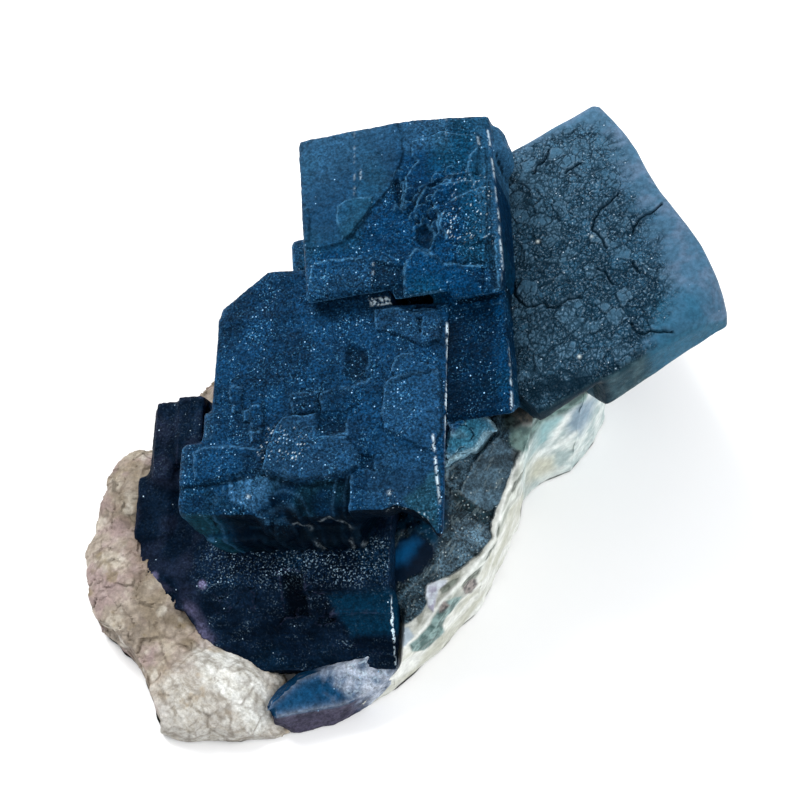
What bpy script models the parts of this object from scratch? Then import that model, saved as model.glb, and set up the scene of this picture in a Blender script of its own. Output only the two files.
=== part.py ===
"""Rough cluster of blue cubic fluorite crystals on a pale quartz matrix.

The specimen lies on the flat trimmed underside of its matrix. The origin is the
middle of that underside, +Z is up and the crystals' broad faces lean to the left
and to the front. Sizes below are in millimetres and become metres in mm().
"""

import math

import bmesh
import bpy
from mathutils import Euler, Matrix, Vector, noise

MM = 0.001
GAP = 0.3  # clearance left where two separate pieces meet
NOISE_SEED = 7.0  # shifts the noise that roughens the rock

# Each frame sits at the middle of a crystal's broad face, which faces local +Z.
UPPER_FRAME = ((3.0, 17.0, 35.0), (15.0, -15.0, 0.0))
MIDDLE_FRAME = ((-3.3, -3.2, 25.3), (16.5, -13.4, -6.0))
RIGHT_FRAME = ((26.8, 14.5, 30.7), (2.0, -14.0, 27.0))
STUB_FRAME = ((-4.2, -25.4, 4.6), (30.0, -6.0, 22.0))

# Blocks are (low corner, high corner) in the frame of their crystal.
UPPER_BLOCKS = (
    ((-10.1, -9.9, -22.0), (11.0, 9.0, 0.0)),  # broad plate at the top
    ((-0.6, -11.4, -20.2), (10.9, -6.0, -0.2)),  # where the plate overhangs the face below
    ((5.4, -12.5, -19.6), (10.7, -9.0, -0.4)),
    ((2.0, -1.0, -9.0), (12.0, 8.3, -2.4)),  # bulge on its right side
    ((3.0, -25.6, -21.0), (10.5, -11.0, -2.9)),  # its lower step
    ((-11.2, -8.6, -16.0), (-4.0, -2.2, -5.6)),  # knob on its left side
)
MIDDLE_BLOCKS = (
    ((-13.9, -11.0, -18.5), (12.3, 11.5, 0.0)),  # large frosted face
    ((-16.0, -10.7, -13.2), (-8.0, -2.5, 0.4)),  # block that stands proud at its left
    ((-7.8, 8.0, -17.9), (6.0, 16.5, -0.3)),  # shoulder under the upper crystal
    ((-14.8, -12.5, -13.9), (11.4, -8.0, -4.1)),  # foot of its front side
)
LEDGE_BLOCKS = (
    ((-24.6, -15.5, -14.5), (5.5, -2.0, -10.0)),  # dark ledge in front
    ((-23.6, -5.1, -17.5), (-12.0, 4.0, -8.6)),  # small crystals at the left
    ((-22.4, -18.0, -14.2), (5.2, -13.7, -10.7)),
    ((-19.4, -20.3, -14.8), (4.9, -16.3, -11.9)),  # growth steps down the front
    ((-15.6, -22.4, -15.1), (4.6, -18.7, -13.2)),
    ((-10.0, -24.4, -15.4), (4.3, -21.1, -14.3)),
)
RIGHT_BLOCK = ((-19.0, -12.8, -22.0), (9.0, 16.9, 0.0))
RIGHT_SIDE = ((9.0, -3.0, 0.0), -18.0)  # where its right side starts to slant inwards, and by how much
SIDE_REACH = 12.0  # how far back the slant is cut
STUB_BLOCK = ((-6.4, -3.2, -5.0), (7.6, 1.4, 0.0))
EDGE_ROUND = 0.5  # softened crystal edges

SHOULDER_TURN = 39.5  # the slanted corner of the large face, degrees
SHOULDER_MIDDLE = (-7.3, 10.3)
SHOULDER_SIZE = (7.4, 10.0)
SHOULDER_DEPTHS = (-17.2, -0.2)

# Lumps of rock are (middle, radii), joined by a remesh.
MATRIX_LUMPS = (
    ((-6.0, 2.0, 3.0), (17.4, 19.0, 8.0)),
    ((2.0, 18.0, 4.0), (17.0, 15.0, 10.0)),
    ((-24.6, -9.5, 0.8), (7.4, 10.8, 6.2)),
    ((-24.6, -1.5, 1.8), (5.8, 6.7, 6.6)),
    ((-18.6, -17.8, 0.0), (8.2, 7.8, 5.0)),
    ((-15.6, -23.6, 0.5), (7.0, 6.4, 4.6)),
    ((-11.0, -24.0, -0.5), (5.2, 3.8, 3.4)),
)
SEAM_LUMPS = (
    ((3.8, -16.4, 2.0), (5.6, 6.2, 6.0)),
    ((7.8, -10.5, 6.0), (6.0, 6.4, 9.0)),
    ((11.0, -4.8, 8.0), (5.6, 6.2, 11.5)),
    ((16.8, 4.4, 4.0), (5.6, 6.4, 7.6)),
    ((22.8, 10.6, 3.5), (6.0, 6.0, 7.0)),
    ((17.6, -0.8, 14.5), (4.8, 5.4, 9.0)),
    ((22.0, 6.6, 10.0), (4.6, 5.0, 8.0)),
)
RIGHT_RIM = 7.6  # depth of the right crystal along its lower edge
UNDERSIDE_SLANT = 50.0  # how steeply its underside falls back from that edge, degrees
ROCK_GAP = 0.5  # clearance between the two rough bodies
VOXEL = 1.0  # grid the lumps are fused on
ROCK_RELIEF = 0.7  # height of the roughness
BROAD_LUMPS = 5.0  # width of the broad and of the fine roughness
FINE_LUMPS = 2.2
MATRIX_KEPT = 0.16  # share of the fused triangles that stay
SEAM_KEPT = 0.22
REACH = 60.0  # how far the cutting slabs extend, well past the specimen


def mm(values):
    """Millimetres to metres."""
    return Vector([MM * value for value in values])


def frame_matrix(frame, turn=0.0):
    """The world matrix of a crystal's frame, turned about its own Z when asked."""
    place, angles = frame
    turned = Euler([math.radians(angle) for angle in angles]).to_matrix().to_4x4()
    return Matrix.Translation(mm(place)) @ turned @ Matrix.Rotation(math.radians(turn), 4, "Z")


def clear_scene():
    for obj in list(bpy.data.objects):
        bpy.data.objects.remove(obj)


def new_collection(name):
    collection = bpy.data.collections.new(name)
    bpy.context.scene.collection.children.link(collection)
    return collection


def new_material(name, colour, roughness, transmission=0.0, ior=1.45):
    material = bpy.data.materials.new(name)
    material.use_nodes = True
    shader = material.node_tree.nodes["Principled BSDF"]
    shader.inputs["Base Color"].default_value = (*colour, 1.0)
    shader.inputs["Roughness"].default_value = roughness
    shader.inputs["Metallic"].default_value = 0.0
    shader.inputs["Transmission Weight"].default_value = transmission
    shader.inputs["IOR"].default_value = ior
    material.diffuse_color = (*colour, 1.0)
    return material


def new_object(name, mesh, collection):
    obj = bpy.data.objects.new(name, mesh)
    collection.objects.link(obj)
    return obj


def as_helper(obj):
    """A shape that only joins or cuts others: drawn as wire and never rendered."""
    obj.hide_render = True
    obj.display_type = "WIRE"
    return obj


def block(name, frame, corners, collection, grow=0.0, turn=0.0, rounded=EDGE_ROUND):
    """A right-angled block between two corners of a frame, with softened edges."""
    low, high = corners
    size = [b - a + 2.0 * grow for a, b in zip(low, high)]
    middle = [(a + b) / 2.0 for a, b in zip(low, high)]
    shape = bmesh.new()
    bmesh.ops.create_cube(shape, size=1.0, matrix=Matrix.Diagonal((*mm(size), 1.0)))
    mesh = bpy.data.meshes.new(name)
    shape.to_mesh(mesh)
    shape.free()
    obj = new_object(name, mesh, collection)
    obj.matrix_world = frame_matrix(frame, turn) @ Matrix.Translation(mm(middle))
    if rounded:
        bevel = obj.modifiers.new("softened edges", "BEVEL")
        bevel.width = MM * rounded
        bevel.segments = 2
    return obj


def cluster_parts():
    """Each block of the cluster: its name, frame, corners and turn."""
    parts = []
    groups = (
        ("upper", UPPER_FRAME, UPPER_BLOCKS),
        ("middle", MIDDLE_FRAME, MIDDLE_BLOCKS),
        ("ledge", MIDDLE_FRAME, LEDGE_BLOCKS),
    )
    for group, frame, blocks in groups:
        for index, corners in enumerate(blocks):
            parts.append((f"{group}_{index}", frame, corners, 0.0))
    half = [size / 2.0 for size in SHOULDER_SIZE]
    bottom, top = SHOULDER_DEPTHS
    corners = ((-half[0], -half[1], bottom), (half[0], half[1], top))
    middle = frame_matrix(MIDDLE_FRAME) @ mm((*SHOULDER_MIDDLE, 0.0))
    frame = (tuple(middle / MM), MIDDLE_FRAME[1])
    parts.append(("shoulder", frame, corners, SHOULDER_TURN))
    return parts


def boolean(obj, operation, others, solver="EXACT"):
    """One Boolean for each of the other shapes, in turn."""
    for other in others:
        modifier = obj.modifiers.new(f"{operation.lower()} {other.name}", "BOOLEAN")
        modifier.operation = operation
        modifier.solver = solver
        modifier.object = other


def lumpy_rock(name, lumps, collection, kept, grow=0.0):
    """Overlapping ellipsoids fused into one rough body and thinned to a light mesh."""
    shape = bmesh.new()
    for middle, radii in lumps:
        scale = Matrix.Diagonal((*mm([radius + grow for radius in radii]), 1.0))
        place = Matrix.Translation(mm(middle))
        bmesh.ops.create_icosphere(shape, subdivisions=3, radius=1.0, matrix=place @ scale)
    mesh = bpy.data.meshes.new(name)
    shape.to_mesh(mesh)
    shape.free()
    raw = new_object(f"{name}_raw", mesh, collection)
    remesh = raw.modifiers.new("fused", "REMESH")
    remesh.mode = "VOXEL"
    remesh.voxel_size = MM * VOXEL
    fused = bpy.data.meshes.new_from_object(evaluated(raw))
    bpy.data.objects.remove(raw)
    roughen(fused)
    obj = new_object(name, fused, collection)
    thin = obj.modifiers.new("thinned", "DECIMATE")
    thin.ratio = kept
    return obj


def evaluated(obj):
    bpy.context.view_layer.update()
    return obj.evaluated_get(bpy.context.evaluated_depsgraph_get())


def roughen(mesh):
    """Pushes each point along its normal by smooth noise, broad and fine together."""
    shift = Vector((NOISE_SEED, NOISE_SEED, NOISE_SEED))
    moves = []
    for vertex in mesh.vertices:
        place = vertex.co / MM
        broad = noise.noise(place / BROAD_LUMPS + shift)
        fine = noise.noise(place / FINE_LUMPS - shift)
        moves.append(vertex.normal * (MM * ROCK_RELIEF * (broad + 0.5 * fine)))
    for vertex, move in zip(mesh.vertices, moves):
        vertex.co += move


def floor_block(name, level, collection):
    """A wide slab whose top is at the given height, to cut off what reaches lower."""
    corners = ((-REACH, -REACH, level - REACH), (REACH, REACH, level))
    world = ((0.0, 0.0, 0.0), (0.0, 0.0, 0.0))
    return as_helper(block(name, world, corners, collection, rounded=0.0))


def joined_crystals(name, collection, helpers, grow=0.0):
    """The parallel crystals joined into one solid."""
    first, *others = cluster_parts()
    joined = []
    for part, frame, corners, turn in others:
        joined.append(as_helper(block(f"{name}_{part}", frame, corners, helpers, grow, turn)))
    _, frame, corners, turn = first
    cluster = block(name, frame, corners, collection, grow, turn)
    # Many softened edges nearly meet here, and only this solver closes them all.
    boolean(cluster, "UNION", joined, "MANIFOLD")
    return cluster


def right_crystal(name, collection, helpers, grow=0.0):
    """The crystal that leans out to the right, with its underside broken off slanting."""
    edge = frame_matrix(RIGHT_FRAME) @ mm((0.0, RIGHT_BLOCK[0][1], -RIGHT_RIM))
    slant = Euler((math.radians(-UNDERSIDE_SLANT), 0.0, 0.0)).to_matrix().to_4x4()
    turned = frame_matrix(((0.0, 0.0, 0.0), RIGHT_FRAME[1])) @ slant
    place = (tuple(edge / MM), [math.degrees(angle) for angle in turned.to_euler()])
    corners = ((-REACH, -REACH, -REACH), (REACH, REACH, -grow))
    underside = as_helper(block(f"{name}_underside", place, corners, helpers, rounded=0.0))
    start, side_turn = RIGHT_SIDE
    side_start = frame_matrix(RIGHT_FRAME) @ mm(start)
    side_frame = (tuple(side_start / MM), RIGHT_FRAME[1])
    corners = ((grow, -REACH, -REACH), (REACH, SIDE_REACH, REACH))
    beyond = block(f"{name}_beyond", side_frame, corners, helpers, turn=side_turn, rounded=0.0)
    crystal = block(name, RIGHT_FRAME, RIGHT_BLOCK, collection, grow)
    boolean(crystal, "DIFFERENCE", [underside, as_helper(beyond)])
    return crystal


def broken_stub(name, collection, grow=0.0):
    return block(name, STUB_FRAME, STUB_BLOCK, collection, grow)


def build():
    clear_scene()
    parts = new_collection("fluorite_specimen")
    helpers = new_collection("cutters")

    cluster = joined_crystals("cube_cluster", parts, helpers)
    right = right_crystal("right_cube", parts, helpers)
    stub = broken_stub("broken_cube", parts)
    seam = lumpy_rock("fluorite_seam", SEAM_LUMPS, parts, SEAM_KEPT)
    matrix = lumpy_rock("quartz_matrix", MATRIX_LUMPS, parts, MATRIX_KEPT)

    cluster_room = as_helper(joined_crystals("cluster_room", helpers, helpers, GAP))
    right_room = as_helper(right_crystal("right_room", helpers, helpers, GAP))
    stub_room = as_helper(broken_stub("stub_room", helpers, GAP))
    seam_room = as_helper(lumpy_rock("seam_room", SEAM_LUMPS, helpers, SEAM_KEPT, ROCK_GAP))
    floor = floor_block("floor", 0.0, helpers)

    boolean(right, "DIFFERENCE", [cluster_room, seam_room], "MANIFOLD")
    boolean(stub, "DIFFERENCE", [cluster_room, floor])
    boolean(seam, "DIFFERENCE", [cluster_room, stub_room, floor], "MANIFOLD")
    rooms = [cluster_room, right_room, stub_room, seam_room, floor]
    boolean(matrix, "DIFFERENCE", rooms, "MANIFOLD")
    paint(cluster, right, stub, seam, matrix)


def paint(cluster, right, stub, seam, matrix):
    """Gives each piece its own material."""
    looks = (
        (cluster, "blue_fluorite", (0.02, 0.09, 0.20), 0.45, 0.15, 1.434),
        (right, "slate_blue_fluorite", (0.07, 0.16, 0.25), 0.45, 0.15, 1.434),
        (stub, "bright_blue_fluorite", (0.05, 0.17, 0.32), 0.35, 0.2, 1.434),
        (seam, "grey_green_fluorite", (0.30, 0.36, 0.33), 0.4, 0.15, 1.434),
        (matrix, "cream_quartz", (0.72, 0.66, 0.56), 0.75, 0.0, 1.54),
    )
    for obj, name, colour, roughness, transmission, ior in looks:
        obj.data.materials.append(new_material(name, colour, roughness, transmission, ior))


build()
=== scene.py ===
# %% [markdown]
# # A cluster of blue cubic fluorite on its rock
#
# Fluorite grows as cubes. On this specimen a stack of dark blue cubes has grown over a
# lump of cream quartz, with a paler seam of broken fluorite along one side. The cubes are
# frosted: every face is covered with tiny steps and grains that glitter.
#
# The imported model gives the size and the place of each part. This lesson builds the looks
# on top of it, one crystal at a time, and hides each plain part behind a detailed one.

import math

import bpy
import numpy as np
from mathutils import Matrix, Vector, noise


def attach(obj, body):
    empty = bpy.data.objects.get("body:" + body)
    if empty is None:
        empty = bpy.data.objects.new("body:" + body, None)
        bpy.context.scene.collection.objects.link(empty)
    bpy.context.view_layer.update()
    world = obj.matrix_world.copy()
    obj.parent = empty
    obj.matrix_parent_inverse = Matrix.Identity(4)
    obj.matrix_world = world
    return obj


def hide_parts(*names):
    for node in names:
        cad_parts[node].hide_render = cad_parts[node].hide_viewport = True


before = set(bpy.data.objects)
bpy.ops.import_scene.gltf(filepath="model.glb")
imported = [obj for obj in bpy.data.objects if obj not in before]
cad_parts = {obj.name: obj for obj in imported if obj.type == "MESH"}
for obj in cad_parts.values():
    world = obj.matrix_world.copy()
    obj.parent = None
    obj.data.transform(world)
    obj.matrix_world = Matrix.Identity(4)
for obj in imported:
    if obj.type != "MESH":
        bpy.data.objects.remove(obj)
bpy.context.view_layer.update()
MM = 0.001
print("packed parts:", sorted(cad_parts))

# %% [markdown]
# ## Where each crystal stands
#
# A cube is easy to shape while it lies square to the grid, and hard once it is tilted. So
# each crystal is modelled in its own frame, in millimetres, with its broad face at height
# zero, and is tilted and moved into place when it is finished. The frames are those of the
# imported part: a place, and the turns about X, Y and Z in degrees.

# %% Frames of the crystals
UPPER = ((3.0, 17.0, 35.0), (15.0, -15.0, 0.0))
MIDDLE = ((-3.3, -3.2, 25.3), (16.5, -13.4, -6.0))
RIGHT = ((26.8, 14.5, 30.7), (2.0, -14.0, 27.0))
STUB = ((-4.2, -25.4, 4.6), (30.0, -6.0, 22.0))
LEVEL = ((0.0, 0.0, 0.0), (0.0, 0.0, 0.0))


def stand(piece, where):
    """Tilts and moves a finished piece into its frame, and applies that to its mesh."""
    place, turns = where
    piece.location = [MM * value for value in place]
    piece.rotation_euler = [math.radians(turn) for turn in turns]
    pick(piece)
    bpy.ops.object.transform_apply(location=True, rotation=True, scale=True)


def pick(*objects):
    """Selects these objects and no others. The last one is active."""
    bpy.ops.object.select_all(action="DESELECT")
    for obj in objects:
        obj.select_set(True)
    bpy.context.view_layer.objects.active = objects[-1]


# %% [markdown]
# ## Blocks, and one skin over them
#
# A stepped crystal is a heap of blocks that share the same directions. Boolean unions
# could join them, but they keep the razor-sharp corners of the blocks. Real frosted
# crystals have slightly melted corners, so the blocks are softened with a bevel, joined
# into one object and covered by a voxel remesh, which lays one even skin over the heap.

# %% Blocks and skin
def block(low, high, soften):
    """A softened block between two corners of the frame it is modelled in."""
    middle = [MM * (a + b) / 2 for a, b in zip(low, high)]
    size = [MM * (b - a) for a, b in zip(low, high)]
    bpy.ops.object.select_all(action="DESELECT")
    bpy.ops.mesh.primitive_cube_add(size=1.0, location=middle, scale=size)
    made = bpy.context.active_object
    bpy.ops.object.transform_apply(location=True, rotation=True, scale=True)
    bpy.ops.object.mode_set(mode="EDIT")
    bpy.ops.mesh.select_all(action="SELECT")
    bpy.ops.mesh.bevel(offset=soften * MM, segments=2, affect="EDGES")
    bpy.ops.object.mode_set(mode="OBJECT")
    return made


def lump(middle, radii):
    """A rounded lump of rock."""
    bpy.ops.object.select_all(action="DESELECT")
    bpy.ops.mesh.primitive_ico_sphere_add(
        subdivisions=4, radius=1.0, location=[MM * m for m in middle], scale=[MM * r for r in radii])
    made = bpy.context.active_object
    bpy.ops.object.transform_apply(location=True, rotation=True, scale=True)
    return made


def slab(foot, low, high, top):
    """A prism between two heights, with one outline at its foot and another at its top."""
    bpy.ops.object.select_all(action="DESELECT")
    bpy.ops.mesh.primitive_circle_add(vertices=len(foot), fill_type="NGON")
    made = bpy.context.active_object
    for vertex, (x, y) in zip(made.data.vertices, foot):
        vertex.co = (x * MM, y * MM, low * MM)
    bpy.ops.object.mode_set(mode="EDIT")
    bpy.ops.mesh.select_all(action="SELECT")
    bpy.ops.mesh.extrude_region_move(TRANSFORM_OT_translate={"value": (0, 0, (high - low) * MM)})
    bpy.ops.mesh.select_all(action="SELECT")
    bpy.ops.mesh.normals_make_consistent(inside=False)
    bpy.ops.object.mode_set(mode="OBJECT")
    for vertex, (x, y) in zip(made.data.vertices[len(foot):], top):
        vertex.co.x, vertex.co.y = x * MM, y * MM
    return made


def joined(name, parts):
    """Joins the parts into one named object."""
    pick(*parts)
    bpy.ops.object.join()
    whole = bpy.context.active_object
    whole.name = name
    whole.data.name = name
    return whole


def apply(piece, modifier):
    pick(piece)
    bpy.ops.object.modifier_apply(modifier=modifier.name)


def skin(piece, cell):
    """Covers the joined parts with one even skin of quads."""
    remesh = piece.modifiers.new("one skin", "REMESH")
    remesh.mode = "VOXEL"
    remesh.voxel_size = cell * MM
    apply(piece, remesh)


def cut(piece, point, normal):
    """Cuts away what lies behind a plane, and closes the cut."""
    pick(piece)
    bpy.ops.object.mode_set(mode="EDIT")
    bpy.ops.mesh.select_all(action="SELECT")
    bpy.ops.mesh.bisect(plane_co=[MM * p for p in point], plane_no=normal, use_fill=True, clear_inner=True,
                        threshold=1e-7)
    bpy.ops.object.mode_set(mode="OBJECT")


def refine(piece, wanted, cuts):
    """Splits the faces that wanted(centres, normals) names into smaller ones."""
    mesh = piece.data
    count = len(mesh.polygons)
    centres, normals = np.empty(count * 3), np.empty(count * 3)
    mesh.polygons.foreach_get("center", centres)
    mesh.polygons.foreach_get("normal", normals)
    pick(piece)
    bpy.context.tool_settings.mesh_select_mode = (False, False, True)
    bpy.ops.object.mode_set(mode="EDIT")
    bpy.ops.mesh.select_all(action="DESELECT")
    bpy.ops.object.mode_set(mode="OBJECT")
    mesh.polygons.foreach_set("select", wanted(centres.reshape(-1, 3) / MM, normals.reshape(-1, 3)))
    bpy.ops.object.mode_set(mode="EDIT")
    bpy.ops.mesh.subdivide(number_cuts=cuts)
    bpy.ops.object.mode_set(mode="OBJECT")


# %% [markdown]
# ## Carving by numbers
#
# The growth steps of a crystal are terraces a few tenths of a millimetre high. Modelling
# each by hand would take days, and a noise texture alone would look like sand. So each
# point of the skin is moved by a small function. `inside` says how far a point lies inside
# an outline, `near_line` how close it is to a line, and `wander` and `cells` are noises.

# %% Measures used for carving
def read(piece):
    """Points and normals of a piece, the points in millimetres."""
    mesh = piece.data
    points = np.empty(len(mesh.vertices) * 3)
    mesh.vertices.foreach_get("co", points)
    normals = np.empty(len(mesh.vertices) * 3)
    mesh.vertex_normals.foreach_get("vector", normals)
    return points.reshape(-1, 3) / MM, normals.reshape(-1, 3)


def write(piece, points):
    piece.data.vertices.foreach_set("co", (points * MM).ravel())
    piece.data.update()


def wander(points, size, seed):
    """Smooth noise from -1 to 1, with lumps of about that size."""
    shifted = points / size + np.array((17.3, -5.1, 9.7)) * (seed + 1)
    return np.array([noise.noise(p) for p in shifted.tolist()])


def cells(points, size, seed):
    """For each point: the width to the nearest crack between cells, and its cell's middle."""
    shift = np.array((7.9, 3.3, -12.1)) * (seed + 1)
    crack, middles = np.empty(len(points)), np.empty((len(points), 3))
    for i, p in enumerate((points / size + shift).tolist()):
        distances, places = noise.voronoi(p, distance_metric="DISTANCE")
        crack[i] = distances[1] - distances[0]
        middles[i] = places[0]
    return crack * size, (middles - shift) * size


def steps(values, low, high):
    """Eases from 0 at low to 1 at high."""
    t = np.clip((values - low) / (high - low), 0, 1)
    return t * t * (3 - 2 * t)


def most(*values):
    """The greatest of several values at each point, kept between 0 and 1."""
    return np.clip(np.maximum.reduce(values), 0, 1)


def patchy(points, size, seed, low, high):
    """Patches of noise, eased from 0 to 1."""
    return steps(wander(points, size, seed), low, high)


def near_line(flat, line, width):
    """1 on a line, fading to 0 at about its width."""
    nearest = np.full(len(flat), 1e9)
    for a, b in zip(line, line[1:]):
        a, b = np.array(a, float), np.array(b, float)
        along = np.clip((flat - a) @ (b - a) / ((b - a) @ (b - a)), 0, 1)
        nearest = np.minimum(nearest, np.linalg.norm(flat - a - along[:, None] * (b - a), axis=1))
    return np.exp(-((nearest / width) ** 2))


def depth_in(flat, outline):
    """How far each point lies inside an outline, negative outside, and the nearest place on it."""
    nearest, spot = np.full(len(flat), 1e9), np.zeros((len(flat), 2))
    odd = np.zeros(len(flat), bool)
    for a, b in zip(outline, outline[1:] + outline[:1]):
        a, b = np.array(a, float), np.array(b, float)
        along = np.clip((flat - a) @ (b - a) / ((b - a) @ (b - a)), 0, 1)
        foot = a + along[:, None] * (b - a)
        away = np.linalg.norm(flat - foot, axis=1)
        closer = away < nearest
        nearest[closer], spot[closer] = away[closer], foot[closer]
        if a[1] != b[1]:
            crossing = a[0] + (flat[:, 1] - a[1]) / (b[1] - a[1]) * (b[0] - a[0])
            odd ^= ((a[1] > flat[:, 1]) != (b[1] > flat[:, 1])) & (flat[:, 0] < crossing)
    return np.where(odd, nearest, -nearest), spot


def inside(flat, outline, soft):
    """0 outside an outline, 1 inside, eased over a soft edge."""
    return steps(depth_in(flat, outline)[0], -soft / 2, soft / 2)


def edged(flat, terraces, width=0.13):
    """Where the rims of plates catch the light from the upper left, and where they fall into shade."""
    lit, shaded = np.zeros(len(flat)), np.zeros(len(flat))
    for outline, height, *_ in terraces:
        depth, spot = depth_in(flat, outline)
        inward = (((flat - spot) / np.where(np.abs(depth) < 1e-6, 1e-6, depth)[:, None])
                  @ np.array((0.75, -0.66)))
        facing = inward * np.sign(height)
        on_rim = np.exp(-(((depth - 0.08 * np.sign(height)) / width) ** 2))
        lit = np.maximum(lit, on_rim * np.clip(facing + 0.25, 0, 1))
        shaded = np.maximum(shaded, on_rim * np.clip(0.1 - facing, 0, 1))
    return lit, shaded


SCATTER = np.array((12.9, 78.2, 37.7))  # turns a place into a number that looks random


def mosaic(points, size, seed):
    """A random level from 0 to 1 for each cell of a squarish mosaic that follows the axes."""
    shift = np.array((4.1, -6.7, 2.9)) * (seed + 1)
    level = np.empty(len(points))
    for i, p in enumerate((points / size + shift).tolist()):
        middle = noise.voronoi(p, distance_metric="CHEBYCHEV")[1][0]
        level[i] = math.sin(middle.x * SCATTER[0] + middle.y * SCATTER[1] + middle.z * SCATTER[2])
    return 0.5 + 0.5 * level


def tiled(points, size, seed, uneven, bend, bend_seed):
    """The same mosaic with its seams bent a little."""
    return mosaic(points + uneven * wander(points, bend, bend_seed)[:, None], size, seed)


def held(points, outline):
    """Points outside an outline, seen from above, are brought to its edge."""
    depth, spot = depth_in(points[:, :2], outline)
    out = depth < 0
    points[out, :2] = spot[out]


def trimmed(points, outline, push):
    """The same, but a push to and fro makes the new edge uneven."""
    shown = points[:, :2] + push
    depth, spot = depth_in(shown, outline)
    out = depth < 0
    points[out, :2] += (spot - shown)[out]


def faceted(points, size, seed):
    """A height that is flat within each cell but tilts another way in the next one."""
    crack, middles = cells(points, size, seed)
    lean = np.sin(middles @ np.array([[12.9, 78.2, 37.7], [39.3, 11.1, 83.2], [73.2, 52.9, 9.1]]))
    return ((points - middles) * lean).sum(axis=1), crack


def nudges(points, size, *seeds):
    """A push for each axis from its own noise. An axis without a seed stays still."""
    still = np.zeros(len(points))
    return np.stack([still if seed is None else wander(points, size, seed) for seed in seeds], axis=1)


def ragged(points, size, amount, seed):
    """The points seen from above, nudged about so that outlines come out uneven."""
    return points[:, :2] + amount * nudges(points, size, seed, seed + 50)


def patch(flat, outlines, soft):
    """1 inside any of several outlines."""
    return np.max([inside(flat, outline, soft) for outline in outlines], axis=0)


def lined(flat, lines, width):
    """1 on any of several lines."""
    return np.max([near_line(flat, line, width) for line in lines], axis=0)


def dot(places, spot, radius, power=2):
    """1 at a spot, fading to 0 round it. A high power gives it a flat top."""
    return np.exp(-((np.linalg.norm(places - spot, axis=1) / radius) ** power))


def folds(piece):
    """Positive on ridges and negative in creases, from how each point stands to its neighbours."""
    points, normals = read(piece)
    ends = np.empty(len(piece.data.edges) * 2, np.int64)
    piece.data.edges.foreach_get("vertices", ends)
    a, b = ends.reshape(-1, 2).T
    count = np.bincount(np.concatenate([a, b]), minlength=len(points))[:, None]

    def neighbours(values):
        total = np.zeros_like(values)
        np.add.at(total, a, values[b])
        np.add.at(total, b, values[a])
        return total / count

    middle = neighbours(points)
    for _ in range(2):
        middle = neighbours(middle)
    stand_out = np.einsum("ij,ij->i", points - middle, normals)
    print(piece.name, "folds", np.percentile(stand_out, (2, 16, 50, 84, 98)).round(3), "mm")
    return stand_out


def note(piece, **measures):
    """Stores numbers at each point of a piece, for its material to read by their names."""
    for name, values in measures.items():
        piece.data.attributes.new(name, "FLOAT", "POINT")
        piece.data.attributes[name].data.foreach_set("value", np.asarray(values, np.float32))


def place(piece, material, crisp_from, where, node, slot):
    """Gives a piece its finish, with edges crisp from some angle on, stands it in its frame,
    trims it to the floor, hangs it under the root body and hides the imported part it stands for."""
    piece.data.materials.append(material)
    pick(piece)
    bpy.ops.object.shade_smooth_by_angle(angle=math.radians(crisp_from))
    stand(piece, where)
    points, _ = read(piece)
    if points[:, 2].min() < -0.01:
        cut(piece, (0, 0, 0), (0, 0, 1))
    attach(piece, "root")
    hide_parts(node)
    low, high = read(piece)[0].min(axis=0), read(piece)[0].max(axis=0)
    print(piece.name, len(piece.data.polygons), "faces, from", low.round(1), "to", high.round(1), "mm")


# %% [markdown]
# ## Nodes without the clutter
#
# The finishes below are node materials. A few helpers keep them short: `new_node` adds a
# node and fills its sockets, `blend` mixes two colours and `layered` lays several over each
# other, `maths` does arithmetic, and `eased` takes a value from one range into another.
# Every pattern reads Object coordinates, scaled to millimetres, or what `note` has stored.

# %% Helpers for materials
tree = None


def begin(name):
    """Begins a material. The helpers below add their nodes to the one that was begun last."""
    global tree
    material = bpy.data.materials.new(name)
    material.use_nodes = True
    tree = material.node_tree
    return material


def fill(node, inputs):
    """Fills sockets, from a value or from another node's output."""
    for name, value in inputs.items():
        if isinstance(value, bpy.types.NodeSocket):
            tree.links.new(value, node.inputs[name])
        else:
            node.inputs[name].default_value = value


def new_node(kind, inputs, **settings):
    made = tree.nodes.new(kind)
    for name, value in settings.items():
        setattr(made, name, value)
    fill(made, inputs)
    return made


def surface(material, inputs, absorbed=None, density=0.0):
    """Fills the shader. The body tints what light passes through it by the absorbed colour."""
    fill(tree.nodes["Principled BSDF"], inputs)
    if absorbed:
        volume = new_node("ShaderNodeVolumeAbsorption", {"Color": (*absorbed, 1.0), "Density": density})
        fill(tree.nodes["Material Output"], {"Volume": volume.outputs[0]})
    print("finish", material.name, "is made of", len(tree.nodes), "nodes")
    return material


def bumped(height, strength, distance=0.0001):
    return new_node("ShaderNodeBump", {"Strength": strength, "Distance": distance, "Height": height}).outputs[0]


def blend(factor, first, second, mode="MIX"):
    """Blends two colours. A colour may be three numbers or another node's output."""
    first, second = [(*c, 1.0) if isinstance(c, tuple) else c for c in (first, second)]
    mixer = new_node("ShaderNodeMix", {0: factor, 6: first, 7: second}, data_type="RGBA", blend_type=mode)
    return mixer.outputs[2]


def layered(colour, *layers):
    """Lays colours over a colour. Each layer is how much of it shows, and its colour."""
    for share, laid in layers:
        colour = blend(share, colour, laid)
    return colour


def maths(operation, first, second=0.0, third=0.0):
    return new_node("ShaderNodeMath", {0: first, 1: second, 2: third}, operation=operation).outputs[0]


def times(first, second):
    return maths("MULTIPLY", first, second)


def eased(value, low, high, start=0.0, end=1.0):
    made = new_node("ShaderNodeMapRange", {
        "Value": value, "From Min": low, "From Max": high, "To Min": start, "To Max": end},
        interpolation_type="SMOOTHSTEP")
    return made.outputs["Result"]


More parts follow.
